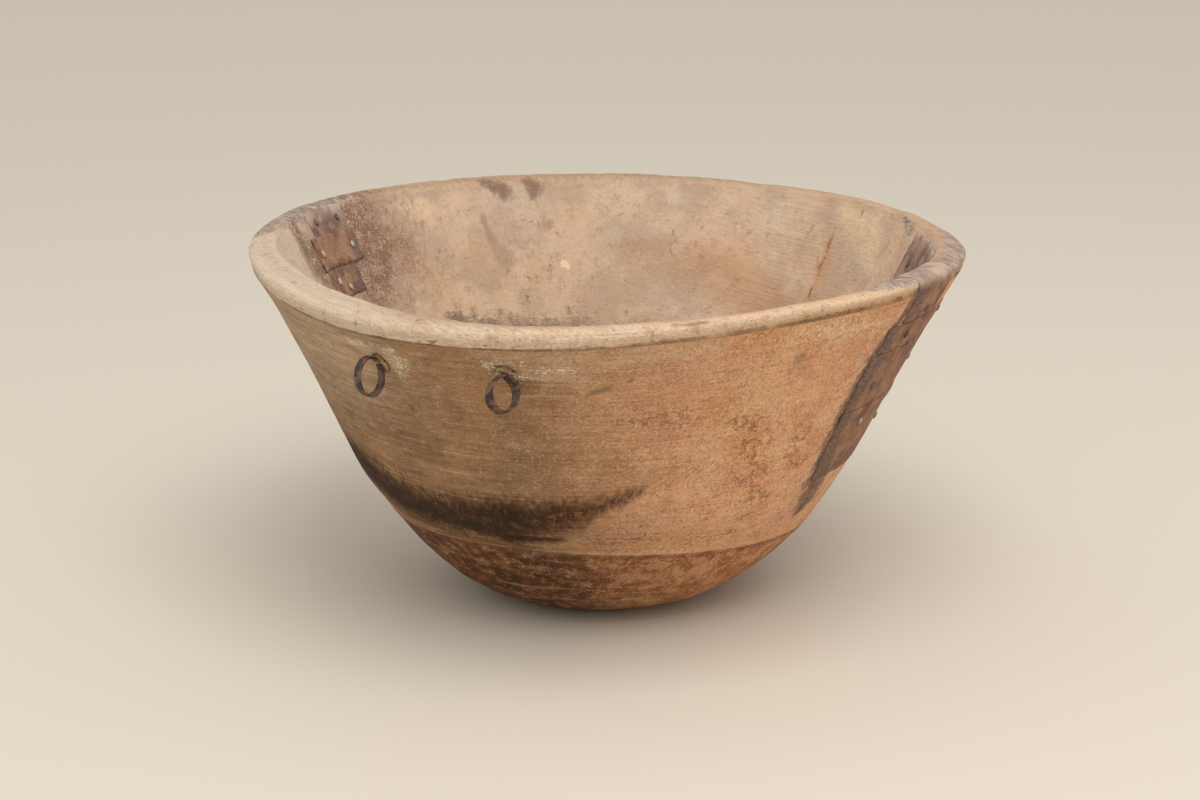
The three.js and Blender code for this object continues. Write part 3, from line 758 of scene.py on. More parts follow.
# %% Make the grid of the wooden bowl
def wooden_bowl():
    """The grid without its two poles, with collars in place of four blocks, bores between the collars,
    and a fan of triangles to each pole."""
    d_grid, a_grid = np.meshgrid(ROWS, TURNS, indexing="ij")
    keep = np.ones((len(ROWS) - 1, COLUMNS), bool)
    keep[0] = keep[-1] = False
    distance, angle = [d_grid.ravel()], [a_grid.ravel()]
    total = d_grid.size
    extra = []
    for eye in EYES.values():
        edges = {}
        for side in (1, -1):
            (i0, j0), d, a, faces, bore, even = collar(eye, side, d_grid, a_grid, total)
            n = 2 * COLLAR_CELLS
            keep[i0 : i0 + n, np.arange(j0, j0 + n) % COLUMNS] = False
            distance.append(d.ravel())
            angle.append(a.ravel())
            total += d.size
            extra.append(faces)
            edges[side] = bore[np.argsort(np.mod(even, 2 * np.pi))]
        strip = np.vstack([edges[1], edges[-1]])
        extra.append(np.stack([strip[0], np.roll(strip[0], -1), np.roll(strip[1], -1), strip[1]], -1))
    distance, angle = np.concatenate(distance), np.concatenate(angle)
    points = on_bowl(distance, angle)
    quads = grid_faces(len(ROWS), COLUMNS, closed=True).reshape(len(ROWS) - 1, COLUMNS, 4)
    quads = np.vstack([quads[keep], *extra])
    fans = []
    for row, pole in ((1, 0), (len(ROWS) - 2, (len(ROWS) - 1) * COLUMNS)):
        ring = row * COLUMNS + np.arange(COLUMNS)
        fans.append(np.stack([ring, np.roll(ring, -1), np.full(COLUMNS, pole)], -1))
    faces = quads.tolist() + np.vstack(fans).tolist()
    used = np.zeros(len(points), bool)
    used[np.unique(np.concatenate([quads.ravel(), np.vstack(fans).ravel()]))] = True
    number = np.cumsum(used) - 1
    faces = [[int(number[v]) for v in face] for face in faces]
    return points[used], faces, distance[used], angle[used]


bowl_points, bowl_faces, bowl_distance, bowl_angle = wooden_bowl()
print("bowl:", len(bowl_points), "points,", len(bowl_faces), "faces")

# %% [markdown]
# What the finish has to know about a point is kept on the point: how far it is from the crown, how
# nearly end on the grain is there, which side of the bowl it is on, and every stain. The grain of the
# block runs towards the front right, so it is end on there and long on the left. The wood is warmer on
# the front right, and bleached inside and outside on the left.

# %% Fields that the finish reads
GRAIN_TOWARDS, WARM_TOWARDS, BLEACHED_TOWARDS = -48.0, -32.0, -165.0
SCORCH_FADES_AT, SCORCH_ENDS_AT = -100.0, -114.0
bowl_fields = {
    "along": bowl_distance,
    "end_grain": np.cos(np.radians(bowl_angle - GRAIN_TOWARDS)) ** 2,
    "warmth": smooth(np.cos(np.radians(bowl_angle - WARM_TOWARDS)), 0.22, 1.0),
    "back": smooth(np.sin(np.radians(bowl_angle)), 0.0, 0.6),
    "scorch_end": smooth(angle_from(bowl_angle, SCORCH_ENDS_AT), 0, 24),
}
for stain, routes in STAINS.items():
    bowl_fields[stain] = strokes(bowl_distance, bowl_angle, *routes)
bowl_fields["scorch"] *= 1 - 0.4 * smooth(angle_from(bowl_angle, SCORCH_FADES_AT), 0, 16)
bleached_side = smooth(np.cos(np.radians(bowl_angle - BLEACHED_TOWARDS)), 0.5, 1)
bowl_fields["bleached"] = bleached_side * smooth(-bowl_distance, -170, -20)
print(len(bowl_fields), "fields on the wood")

# %% [markdown]
# ## The finish of the wood
#
# Bare wood that has dried for a century is matt. Its colour comes from several things at once: broad
# tan and grey-brown areas, the fibres, the lines that the turning tool left, pores, and the stains. A
# picture wrapped round the bowl would stretch at the lip and show a seam, and noise in the bowl's own
# space does neither. The fibres are noise that is stretched along the grain of the block, so that they
# show as long streaks where the wall runs with the grain and as a fine speckle where it cuts across it,
# with no extra work. The turning lines are noise that changes fast down the section and slowly round
# the bowl.

# %% Which part of the bowl a point is on
wood = Finish("dry_old_wood")
place = wood.place()
along = wood.field("along")
axes = wood.node("ShaderNodeSeparateXYZ", {}, {0: place}).socket.node.outputs
x, y = Wire(wood, axes[0]), Wire(wood, axes[1])
outside = wood.ramp(along, -6.0, 2.0)
lip = wood.ramp(along, -11.0, -5.0) * wood.ramp(along, 19.5, 17.5)
# 0 on the inner top of the lip, 1 on its outer side: the lip's tones run from painted shade to painted light
# across it
lip_shade_to_light = wood.ramp(along, -1.0, 12.0)
below_step = wood.ramp(along, STEP_DISTANCE - 0.6, STEP_DISTANCE + 0.6)
end_grain = wood.field("end_grain") * outside
warmth = wood.field("warmth")
back = wood.field("back")
print("parts of the bowl:", len(wood.tree.nodes), "nodes")

# %% Fibres, pores and the lines of the turning tool
grain = wood.stretched(place, (13.0, 1.0, 1.0), GRAIN_TOWARDS)
fibres = wood.noise(grain, 1.7, 4, 0.6) - 0.5
coarse_fibres = wood.noise(grain, 7.0, 3) - 0.5
pores = wood.ramp(wood.cells(grain, 2.8), 0.17, 0.06)
round_the_bowl = wood.node("ShaderNodeCombineXYZ", {}, {0: x * 0.03, 1: y * 0.03, 2: along})
lines = wood.noise(round_the_bowl, 1.6, 3, 0.6) - 0.5
broad_lines = wood.noise(round_the_bowl, 9.0, 3) - 0.5
down_the_wall = wood.node("ShaderNodeCombineXYZ", {}, {0: x * 0.5, 1: y * 0.5, 2: along * 0.12})
combed = wood.noise(down_the_wall, 1.5, 3, 0.6) - 0.5
blotches = wood.noise(place, 60.0, 3) - 0.5
clouds = wood.noise(place, 34.0, 4, 0.65) - 0.5
patches = wood.noise(place, 22.0, 4, 0.6) - 0.5
mottle = wood.noise(place, 8.0, 4, 0.65) - 0.5
speckle = wood.noise(place, 1.5, 2, 0.75) - 0.5
ragged = mottle * 0.9 + speckle * 0.6
print("with the patterns:", len(wood.tree.nodes), "nodes")

# %% [markdown]
# The ground colours come first: a warm and a grey side outside, a pale hollow, and a base painted dark,
# partly its own colour and partly painted shade under the belly. One tone to each part would look like paint,
# so each is two tones with slow noise to choose between them.

# %% Mix the ground colours
grey_brown = wood.mix(wood.ramp(blotches + patches * 0.5, -0.12, 0.12), "8d6c4c", "a07a57")
orange_tan = wood.mix(wood.ramp(patches + mottle * 0.4, -0.18, 0.18), "d29870", "e4b286")
orange_tan = wood.mix(wood.ramp(blotches + mottle * 0.5, 0.0, 0.16) * 0.4, orange_tan, "dda088")
wall = wood.mix(warmth, grey_brown, orange_tan)
hollow = wood.mix(wood.ramp(patches + blotches, -0.12, 0.12), "b89e86", "c8ab8f")
hollow = wood.mix(wood.ramp(clouds + mottle * 0.4, 0.02, 0.16) * 0.28, hollow, "c4956a")
hollow = wood.mix(wood.ramp(clouds + mottle * 0.4, -0.04, -0.18) * 0.3, hollow, "c6b7a2")
bleached = wood.ramp(wood.field("bleached") + ragged * 0.6, 0.1, 1.0)
bleached_tone = wood.mix(outside, "c9b8a4", "bda689")
colour = wood.mix(bleached * 0.65, wood.mix(outside, hollow, wall), bleached_tone)
# The base below the step is painted dark: partly its own colour, partly painted shade under the belly,
# darkest on the cool side
shaded_base_dark = wood.mix(warmth, "42230b", "9c6238")
shaded_base_pale = wood.mix(warmth, "74431c", "cb9160")
base = wood.mix(wood.ramp(mottle + patches * 0.6, -0.09, 0.11), shaded_base_dark, shaded_base_pale)
colour = wood.mix(below_step * 0.92, colour, base)
print("with the ground colours:", len(wood.tree.nodes), "nodes")

# %% [markdown]
# Some stains have soaked in, so they lie under the fibres and take their texture. Every stain is mixed
# in the same way, so one helper does it. The noise that it adds to the field makes the edge ragged.

# %% Stain the wood
def stained(colour, stain, noise, low, high, share, over):
    """The colour with a stain on it: the stain's field and some noise, cut off from low to high."""
    return wood.mix(wood.ramp(wood.field(stain) + noise, low, high) * share, colour, over)


for stain, high, share, over in (
    ("ochre", 0.9, 0.2, "c78648"),
    ("tanned", 0.8, 0.34, "a87a52"),
    ("dusty", 0.8, 0.4, "c9ab8a"),
    ("yellow", 0.9, 0.45, "e6c7a0"),
):
    colour = stained(colour, stain, ragged, 0.05, high, share, over)
browned_tone = wood.mix(warmth, "5f3b20", "8d5c3a")
colour = stained(colour, "browned", ragged * 0.8, 0.05, 0.9, 0.65, browned_tone)
print("with the soaked-in stains:", len(wood.tree.nodes), "nodes")

# %% [markdown]
# The fibres and the turning lines lighten and darken whatever colour is under them, so they multiply
# it. They are stronger outside, and where the grain is end on they give way to specks. Bump alone would
# leave the wood looking like plain plastic that has been scratched.

# %% Add the texture
texture = (fibres * 0.8 + coarse_fibres * 0.5) * (1.0 - end_grain * 0.4) + mottle * 0.35
worked = (0.2 + outside * 0.8) * (1.0 - end_grain * 0.8)
texture = texture + (lines + broad_lines * 0.35) * worked + patches * (1.0 - outside) * 0.3
texture = texture + speckle * (0.3 + end_grain * 1.2)
light = 1.0 + texture * (0.4 + outside * 0.6)
grey_light = wood.node("ShaderNodeCombineColor", {}, {0: light, 1: light, 2: light})
colour = wood.mix(1.0, colour, grey_light, "MULTIPLY")
pale_specks = wood.ramp(speckle + lines * 0.3, 0.07, 0.2) * (0.06 + end_grain * 0.94) * outside
colour = wood.mix(pale_specks * 0.6, colour, "ecd0ae")
dark_specks = wood.ramp(speckle + fibres * 0.5, -0.1, -0.22) * outside
colour = wood.mix(dark_specks * 0.35, colour, "8a5535")
flaked = wood.ramp(wood.field("flaked") * 0.3 + speckle * 1.1 + mottle * 0.8, 0.22, 0.36)
flaked = flaked * wood.ramp(wood.field("flaked"), 0.0, 0.35)
colour = wood.mix(flaked * 0.7, colour, "f3d3ac")
scratches = wood.ramp(lines + broad_lines * 0.4, 0.13, 0.22) * (1.0 - end_grain) * outside
colour = wood.mix(scratches * 0.35, colour, "d8b78f")
dark_lines = wood.ramp(lines - broad_lines * 0.3, -0.14, -0.24) * outside
colour = wood.mix(dark_lines * 0.35, colour, "6e4f35")
colour = wood.mix(pores * (0.04 + outside * 0.3), colour, "6a4a33")
print("with the texture:", len(wood.tree.nodes), "nodes")

# %% [markdown]
# The lip is painted darker on its inner top and paler on its outer side, as painted shade and painted light.
# Under the lip there is a band of orange-brown colour and painted shade, there is dirt in the dents, the
# groove is painted dark as painted shade in its recess, and the base below the step is scuffed, with a
# painted highlight on the step's edge and painted shade just under it. All of these follow the section, so
# they are bands of the distance from the crown, pushed about and broken up by noise.

# %% Finish the lip and its groove
LIP_EDGE, GROOVE_LINE = 18.0, 18.6
# Lip tones darker on the inner top and paler on the outer side: painted shade and painted light
lip_dark = wood.mix(lip_shade_to_light, "a6876c", "cdb397")
lip_pale = wood.mix(lip_shade_to_light, "b89b80", "e3ccb2")
lip_tone = wood.mix(wood.ramp(fibres + mottle * 0.5, -0.15, 0.15), lip_dark, lip_pale)
lip_tone = wood.mix(warmth * 0.4, lip_tone, wood.mix(lip_shade_to_light, "ba885f", "dfb890"))
lip_stain = wood.ramp(patches + mottle * 0.6 + speckle * 0.3, -0.02, 0.18)
lip_tone = wood.mix(lip_stain * 0.35, lip_tone, "bd9873")
lip_tone = wood.mix(bleached * 0.5, lip_tone, "d5c5b0")
colour = wood.mix(lip * (0.88 - back * 0.25), colour, lip_tone)
# A band under the lip, orange-brown and darker: its own colour together with painted shade under the
# overhang, warmer on the right
under_lip_shade = wood.ramp(abs(along - LIP_EDGE - mottle * 6), 3.5, 1.2)
colour = wood.mix(under_lip_shade * (0.15 + warmth * 0.3), colour, wood.mix(warmth, "a88463", "c58a58"))
dents = wood.ramp(wood.noise(grain, 2.2, 3, 0.7) - under_lip_shade * 0.1, 0.34, 0.27)
dents = dents * wood.ramp(patches, -0.1, 0.1) * lip
colour = wood.mix(dents * (0.6 - back * 0.5), colour, "5b4534")
# The groove painted dark brown: painted shade in the recess, weaker towards the back
groove_shade = wood.ramp(abs(along - GROOVE_LINE - broad_lines * 4), 1.7, 0.5)
groove_shade = groove_shade * wood.ramp(patches, -0.24, 0.12)
colour = wood.mix(groove_shade * (0.66 - back * 0.3), colour, "47331f")
print("with the lip:", len(wood.tree.nodes), "nodes")

# %% Finish the step and the base
# A pale line along the step's edge: a painted highlight on the ridge
edge = wood.ramp(abs(along - (STEP_DISTANCE - 1.3)), 1.2, 0.3) * wood.ramp(patches, -0.16, 0.06)
colour = wood.mix(edge * (0.2 + warmth * 0.45), colour, "d6a77c")
# A dark band just under the step: painted shade under the ledge
step_undercut_shade = wood.ramp(abs(along - (STEP_DISTANCE + 2.6)), 3.0, 0.8)
colour = wood.mix(step_undercut_shade * 0.45, colour, "66432a")
scuffs = wood.ramp(wood.noise(round_the_bowl, 14.0, 4, 0.7) + mottle * 0.4, 0.52, 0.66)
colour = wood.mix(scuffs * below_step * (0.15 + warmth * 0.3), colour, "c39a76")
print("with the base:", len(wood.tree.nodes), "nodes")

# %% [markdown]
# Hair cracks are the thin places where slow noise crosses its middle value: they wriggle and never
# repeat. The one long crack inside on the right is a plane through the bowl's axis, bent by noise, that
# shows where it meets the wall.

# %% Add the cracks and the tool chatter
CRACK_TURN = math.radians(37.0)
wriggles = wood.ramp(abs(wood.noise(place, 15.0, 4, 0.7) - 0.5), 0.03, 0.006)
checks = wriggles * wood.ramp(wood.field("checked") + mottle * 2.2, 0.25, 0.6)
colour = wood.mix(checks * 0.6, colour, "8d4c28")
curls = wood.ramp(combed + fibres * 0.5 + lines * 0.4, -0.02, -0.13)
chatter = curls * wood.ramp(wood.field("chatter") + mottle, 0.1, 0.6)
colour = wood.mix(chatter * 0.6, colour, "6b4429")
off_crack = abs(x * math.sin(CRACK_TURN) - y * math.cos(CRACK_TURN) + mottle * 9.0)
cracked = wood.ramp(along, -28.0, -36.0) * wood.ramp(along, -82.0, -72.0) * wood.ramp(x, 0.0, 30.0)
crack_stain = wood.ramp(off_crack + ragged * 4.0, 6.0, 0.5) * cracked
colour = wood.mix(crack_stain * 0.45, colour, "bf8245")
crack = wood.ramp(off_crack + speckle * 3.0, 1.4, 0.2) * cracked * wood.ramp(mottle, -0.1, 0.06)
colour = wood.mix(crack * 0.5, colour, "6a5242")
print("with the cracks:", len(wood.tree.nodes), "nodes")

# %% [markdown]
# The marks that lie on top hide the fibres. The dark ones are first: smudges, a drip, soot, dark
# heartwood, greyed rim, pitch and the scorch. Chalk, its dust and a fresh chip are over them.

# %% Add the dark marks
colour = stained(colour, "smudges", ragged + lines * 0.8, 0.25, 0.95, 0.6, "54432f")
colour = stained(colour, "drips", ragged * 0.8, 0.2, 0.75, 0.42, "866553")
colour = stained(colour, "soot", ragged * 1.8 + lines * 0.8, 0.3, 1.1, 0.75, "4c463e")
colour = stained(colour, "rim_spots", ragged * 0.9 + combed * 0.7, 0.2, 0.8, 0.7, "6f5044")
dark_heart = wood.mix(wood.ramp(mottle + speckle * 1.2, -0.1, 0.2), "654839", "b3907a")
heart_edge = patches + ragged * 1.2 + combed * 0.5
colour = stained(colour, "heartwood", heart_edge, 0.05, 0.7, 0.82, dark_heart)
grey_tone = wood.mix(wood.ramp(fibres + mottle * 0.6, -0.12, 0.12), "7a6a5f", "b7a290")
colour = stained(colour, "grey_rim", ragged, 0.0, 0.45, 0.85, grey_tone)
pitch = wood.ramp(wood.field("pitch") + ragged * 1.3 + combed * 0.8, 0.25, 0.75)
pitch_tone = wood.mix(wood.ramp(mottle + speckle, -0.1, 0.16), "58423a", "94735f")
colour = wood.mix(pitch * 0.82, colour, pitch_tone)
flakes = wood.ramp(wood.field("pitch") + speckle * 2.2 + mottle, 0.36, 0.5) * (1.0 - pitch)
colour = wood.mix(flakes * 0.5, colour, "e3cdb0")
scorch_end = wood.field("scorch_end")
burnt_dark = wood.mix(scorch_end, "1a110d", "3a2317")
burnt_pale = wood.mix(scorch_end, "53331f", "8f5c3c")
burnt = wood.mix(wood.ramp(mottle + speckle * 0.7, -0.08, 0.24), burnt_dark, burnt_pale)
colour = stained(colour, "scorch", ragged * 1.1 + combed * 0.9, 0.05, 0.75, 0.93, burnt)
print("with the dark marks:", len(wood.tree.nodes), "nodes")

# %% Add the pale marks
colour = stained(colour, "chalk", ragged, 0.1, 0.9, 0.18, "cdbd9e")
chalk = wood.field("chalk") * 0.35 + speckle * 1.4 + mottle * 1.2 + lines * 0.8
chalk = wood.ramp(chalk, 0.32, 0.5) * wood.ramp(wood.field("chalk"), 0.0, 0.3)
colour = wood.mix(chalk * 0.85, colour, "e6dab9")
colour = stained(colour, "chips", ragged * 0.8, 0.25, 0.4, 0.7, "ecd3a4")
print("with the pale marks:", len(wood.tree.nodes), "nodes")

# %% Give the wood its relief and make the bowl
relief = fibres * 0.6 + lines * (0.2 + outside * 0.6) + speckle * (0.35 + end_grain * 0.5) + mottle * 0.7
relief = relief - pores * 0.2 + flaked * 0.1
relief = relief - dents * 0.4 - crack * 0.8 - checks * 0.4 + pitch * mottle * 1.5
roughness = 0.84 + mottle * 0.2 - below_step * 0.12
OLD_WOOD = wood.done(colour, roughness, relief, specular=0.18)
make_piece(
    "wooden_bowl", bowl_points, bowl_faces, "vessel", OLD_WOOD, "bowl", bowl_fields
)
print("the finished wood:", len(wood.tree.nodes), "nodes")

# %% [markdown]
# ## The strap eyes
#
# Each eye is one strip of iron, bent round into a loop. Its two legs go through the wall side by side
# and are turned over inside, like a split pin. A strip could be an extruded outline, as in the model,
# but a forged one has soft edges and uneven sides. So a rounded rectangle is carried along the middle
# line of the strip, and its width and thickness wander a little on the way.

# %% Sizes of the strap eyes, in millimetres and degrees
STRAP_WIDTH = 5.6
STRAP_THICKNESS = 1.3
EYE_STANDOFF = 0.8
LEG_GAP = 0.4
LEG_LENGTH = 17.0
LEG_BEND = 1.7
LEG_CLEARANCE = 1.0
NECK_ANGLE = 13.0
NECK_EASE = 1.3
flat_length = 2 * math.pi * EYES["left"]["radius"] + 2 * LEG_LENGTH
print("the left loop and its two turned ends, laid flat:", round(flat_length), "mm")


# %% The inner wall, and the eye's own axes
def inner_wall(eye, height, across=0.0):
    """How far in the inner wall is, along the eye's axis, at a height up the wall."""
    distance, angle = meet(eye, np.array([float(height)]), np.array([float(across)]), -1, eye["angle"])
    return float(((on_bowl(distance, angle, worked=False) - eye["seat"]) @ eye["axes"][0])[0])


def twisted(eye):
    """The eye's own axes, turned about the first of them by its twist."""
    out, up, across = eye["axes"]
    c, s = math.cos(math.radians(eye["twist"])), math.sin(math.radians(eye["twist"]))
    return {**eye, "axes": np.array([out, c * up + s * across, c * across - s * up])}


# %% The middle line of a strap
def strap_line(eye):
    """Points in the plane of the loop: straight legs with a bend inside, short necks, and the loop, a
    circle whose centre droops. Each stretch is a straight line, an arc or a cubic curve."""
    half = (STRAP_THICKNESS + LEG_GAP) / 2
    radius = eye["radius"] - STRAP_THICKNESS / 2
    reach = eye["radius"] + EYE_STANDOFF
    tilt, neck = math.radians(eye["droop"]), math.radians(NECK_ANGLE)
    centre = np.array([reach, -reach * math.tan(tilt)])
    turn = np.linspace(math.pi - tilt - neck, -math.pi - tilt + neck, 90)
    loop = centre + radius * np.stack([np.cos(turn), np.sin(turn)], -1)
    way = lambda a: np.array([math.sin(a), -math.cos(a)])
    upper = cubic(
        np.array([-1, half]), np.array([0.8, half]), loop[0] - NECK_EASE * way(turn[0]), loop[0], 14
    )
    lower = cubic(
        loop[-1], loop[-1] + NECK_EASE * way(turn[-1]), np.array([0.8, -half]), np.array([-1, -half]), 14
    )

    def leg(side):
        lean = math.atan2(inner_wall(eye, side * LEG_LENGTH) - inner_wall(eye, 0), LEG_LENGTH)
        bend_turn = np.linspace(0, math.pi / 2 + lean, 12)
        bend_x = inner_wall(eye, 0) - LEG_CLEARANCE - STRAP_THICKNESS / 2 + LEG_BEND
        straight = np.stack([np.linspace(-2, bend_x, 8)[:-1], np.full(7, side * half)], -1)
        bend = np.stack([
            bend_x - LEG_BEND * np.sin(bend_turn),
            side * (half + LEG_BEND - LEG_BEND * np.cos(bend_turn)),
        ], -1)
        on = np.array([-math.cos(bend_turn[-1]), side * math.sin(bend_turn[-1])])
        end = bend[-1] + on * np.linspace(0, LEG_LENGTH, 14)[1:, None]
        return np.vstack([straight, bend, end])

    return np.vstack([leg(1)[::-1], upper, loop[1:-1], lower, leg(-1)])


# %% Carry the strip's section along the line
STRAP_SIDES = 20
STRAP_CORNER = 0.42
UNEVEN_WIDTH, UNEVEN_THICKNESS, UNEVEN_MIDDLE = 0.3, 0.12, 0.25


def strap_eye(side):
    """The closed surface of one eye: at each point of the line a rounded rectangle, cosine and sine
    raised to a small power, with its width across the plane. The loop leans over sideways."""
    eye = twisted(EYES[side])
    line = strap_line(eye)
    step = np.gradient(line, axis=0)
    step /= np.linalg.norm(step, axis=1, keepdims=True)
    normal = np.stack([-step[:, 1], step[:, 0]], -1)
    around = np.linspace(0, 2 * np.pi, STRAP_SIDES, endpoint=False)
    wide = np.sign(np.cos(around)) * np.abs(np.cos(around)) ** STRAP_CORNER / 2
    thick = np.sign(np.sin(around)) * np.abs(np.sin(around)) ** STRAP_CORNER / 2
    rng = np.random.default_rng(len(side))
    walk = np.linspace(0, 1, len(line))
    uneven = lambda count: np.interp(walk, np.linspace(0, 1, count), rng.uniform(-1, 1, count))
    out_share = np.clip(line[:, 0] / (2 * eye["radius"]), 0, 1)
    width = STRAP_WIDTH + UNEVEN_WIDTH * uneven(23) * (line[:, 0] > 0)
    thickness = STRAP_THICKNESS + UNEVEN_THICKNESS * uneven(31) * (line[:, 0] > 1)
    x = line[:, :1] + normal[:, :1] * thick * thickness[:, None]
    y = line[:, 1:] + normal[:, 1:] * thick * thickness[:, None]
    z = wide * width[:, None] + (UNEVEN_MIDDLE * uneven(17) * out_share)[:, None]
    z = z - np.clip(x - STRAP_THICKNESS, 0, None) * math.tan(math.radians(eye["sway"]))
    points = np.stack([x, y, z], -1).reshape(-1, 3) @ eye["axes"] + eye["seat"]
    faces = grid_faces(len(line), STRAP_SIDES, closed=True).tolist()
    faces.append(list(range(STRAP_SIDES)))
    faces.append([(len(line) - 1) * STRAP_SIDES + k for k in reversed(range(STRAP_SIDES))])
    return points, faces


# %% [markdown]
# Old iron that is handled stays dark: brown-black, with orange rust in the pits, and grey patches painted in
# as highlights. The three tones could follow the strip's edges, but such rust pays no heed to them, so noise
# in the strip's own space is enough: a slow one for the clouds and a fine one for the pits.

# %% Mix the iron
def dark_iron():
    """Dark and brown clouds, grey where the fine noise is high and rust where it is low."""
    iron = Finish("dark_iron")
    place = iron.place()
    cloud = iron.noise(place, 5.0, 3)
    pits = iron.noise(place, 0.9, 4, 0.7)
    colour = iron.mix(iron.ramp(cloud, 0.4, 0.6), "2f2019", "6c4f40")
    # Grey patches where the fine noise is high: painted highlights
    colour = iron.mix(iron.ramp(pits, 0.5, 0.7) * 0.5, colour, "907a70")
    colour = iron.mix(iron.ramp(pits, 0.45, 0.3) * 0.7, colour, "5c301c")
    roughness = 0.55 + pits * 0.3
    return iron.done(colour, roughness, pits * 0.3 + cloud * 0.2, metallic=0.15)


DARK_IRON = dark_iron()
for side in EYES:
    points, faces = strap_eye(side)
    make_piece(side + "_strap", points, faces, side + "_strap_eye", DARK_IRON, side + "_eye")
    print(side, "strap:", len(faces), "faces")

# %% [markdown]
# ## The gum in the bores
#
# Gum or resin was pressed into each bore to hold the legs. It is a plug that fills the bore and spreads
# in an uneven heap over the wood round the neck of the eye, lower down than the bore. It could be a
# sculpted lump, but then it wouldn't follow the bore's size. So it is turned round the eye's axis like a
# lump on a lathe and then pushed about with a few sine waves. The heap stays just clear of the wood, so
# that the eye can turn with it.

# %% Shape a plug of gum
FIT = 0.35
HEAP = 1.3
HEAP_RADIUS = 6.4
HEAP_CLEARANCE = 0.5
HEAP_DROOP = 1.6


def gum_plug(side):
    """A profile from the inner face to the outer heap, turned round the bore's axis. The heap's outline
    and height are wave sums of the angle, and its middle lies lower than the bore's."""
    eye = EYES[side]
    radius = EYE_HOLE_RADIUS - FIT
    deep = inner_wall(eye, 0) + 0.2
    turn = np.linspace(0, 2 * np.pi, 36, endpoint=False)
    heap = HEAP * (0.6 + 0.25 * np.cos(2 * turn + 1) + 0.15 * np.cos(5 * turn + len(side)))
    outline = HEAP_RADIUS * (1 + 0.07 * np.cos(3 * turn + len(side)) + 0.05 * np.cos(7 * turn + 2))
    profile = [(0.3, deep), (0.9, deep), (1, deep + 0.4), (1, deep / 2), (1, HEAP_CLEARANCE)]
    rings = [(share * radius, np.full_like(turn, x), 0) for share, x in profile]
    dome = ((0.93, 0), (1, 0.15), (0.96, 0.4), (0.84, 0.75), (0.6, 1), (0.35, 0.85), (0.12, 0.95))
    rings += [(share * outline, HEAP_CLEARANCE + heap * lift, share) for share, lift in dome]
    points = [
        np.stack([x, out * np.cos(turn) - HEAP_DROOP * low, out * np.sin(turn)], -1) for out, x, low in rings
    ]
    centres = np.array([[deep, 0, 0], [HEAP_CLEARANCE + heap.mean(), 0, 0]])
    points = np.vstack([*points, centres]) @ eye["axes"] + eye["seat"]
    return points, capped_faces(len(rings), len(turn))


# %% [markdown]
# Dried gum is brown and tan, with pale grains of lime in it and dark pits. Real gum lets a little light
# through, but where it is old and dusty that can't be seen, so a matt colour with fine noise is enough.

# %% Mix the gum and put in the plugs
def dried_gum():
    """Brown and tan clouds with pale grains and dark pits."""
    gum = Finish("dried_gum")
    place = gum.place()
    grains = gum.noise(place, 0.8, 4, 0.7)
    cloud = gum.noise(place, 3.0, 2)
    colour = gum.mix(gum.ramp(cloud, 0.38, 0.6), "7a583a", "ac9169")
    colour = gum.mix(gum.ramp(grains, 0.54, 0.66), colour, "d9cfa4")
    colour = gum.mix(gum.ramp(grains, 0.45, 0.32), colour, "33241a")
    return gum.done(colour, 0.85, grains * 0.5)


DRIED_GUM = dried_gum()
for side in EYES:
    points, faces = gum_plug(side)
    body = side + "_strap_eye"
    make_piece(side + "_gum_plug", points, faces, body, DRIED_GUM, side + "_packing")
    print(side, "gum plug:", len(faces), "faces")

# %% [markdown]
# ## The sheet repairs
#
# Thin sheet was cut with shears, hammered to the wall over the cracks and nailed. A Shrinkwrap modifier
# could lay a flat sheet on the wall, but it would sink into the groove and not know where it laps over
# the next sheet. So each repair is a surface of two parameters, across and down, that follows the bowl a
# little way off it. Its cut edges wander, its rim is hammered thin, it swells slightly between its
# nails, and where it laps over the next sheet it steps up over it.

# %% The plates, as distances from the crown, side angles, what they lap over, and their nails
SHEET = 0.8
LAP = 3.0
SEAM = 1.0
LEFT_TOP_START, LEFT_TOP_END, LEFT_MIDDLE_END, LEFT_BOTTOM_END = 6.0, 27.0, 46.5, 67.0
RIM_INSIDE_END, RIM_END, UPPER_END, MIDDLE_END, LOWER_END = 33.0, 37.0, 57.0, 102.0, 149.0
RIGHT_INSIDE_START, RIGHT_INSIDE_END = 12.0, 50.0
PLATES = {
    "left_inside_plate_top": (-LEFT_TOP_START, -LEFT_TOP_END, 147.5, 159, "", ((0.45, 0.2), (0.45, 0.8))),
    "left_inside_plate_middle": (
        -LEFT_TOP_END + LAP, -LEFT_MIDDLE_END, 147, 161.5, "both", ((0.5, 0.12), (0.5, 0.88))
    ),
    "left_inside_plate_bottom": (
        -LEFT_MIDDLE_END + LAP, -LEFT_BOTTOM_END, 150, 160.5, "", ((0.5, 0.8), (0.75, 0.5))
    ),
    "rim_plate": (RIM_END, -RIM_INSIDE_END, -34.5, -22.9, "", ((0.1, 0.5), (0.88, 0.5))),
    "right_plate_upper": (UPPER_END, RIM_END + SEAM, -37.2, -4, "", ((0.5, 0.2), (0.5, 0.8))),
    "right_plate_middle": (MIDDLE_END, UPPER_END + SEAM, -38.3, -3, "", ((0.45, 0.15), (0.45, 0.8))),
    "right_plate_lower": (LOWER_END, MIDDLE_END - LAP, -38.7, -2, "end", ((0.77, 0.24), (0.5, 0.75))),
    "right_inside_plate": (-RIGHT_INSIDE_START, -RIGHT_INSIDE_END, -20, 9, "", ((0.5, 0.15), (0.5, 0.85))),
}
GRIME = {
    "left_inside_plate_top": 1.0, "right_inside_plate": 1.0, "left_inside_plate_middle": 0.35,
    "left_inside_plate_bottom": 0.5,
}
EDGE_WANDER = 0.7
LAP_SLOPE = 7.0
CLOSE = 0.12
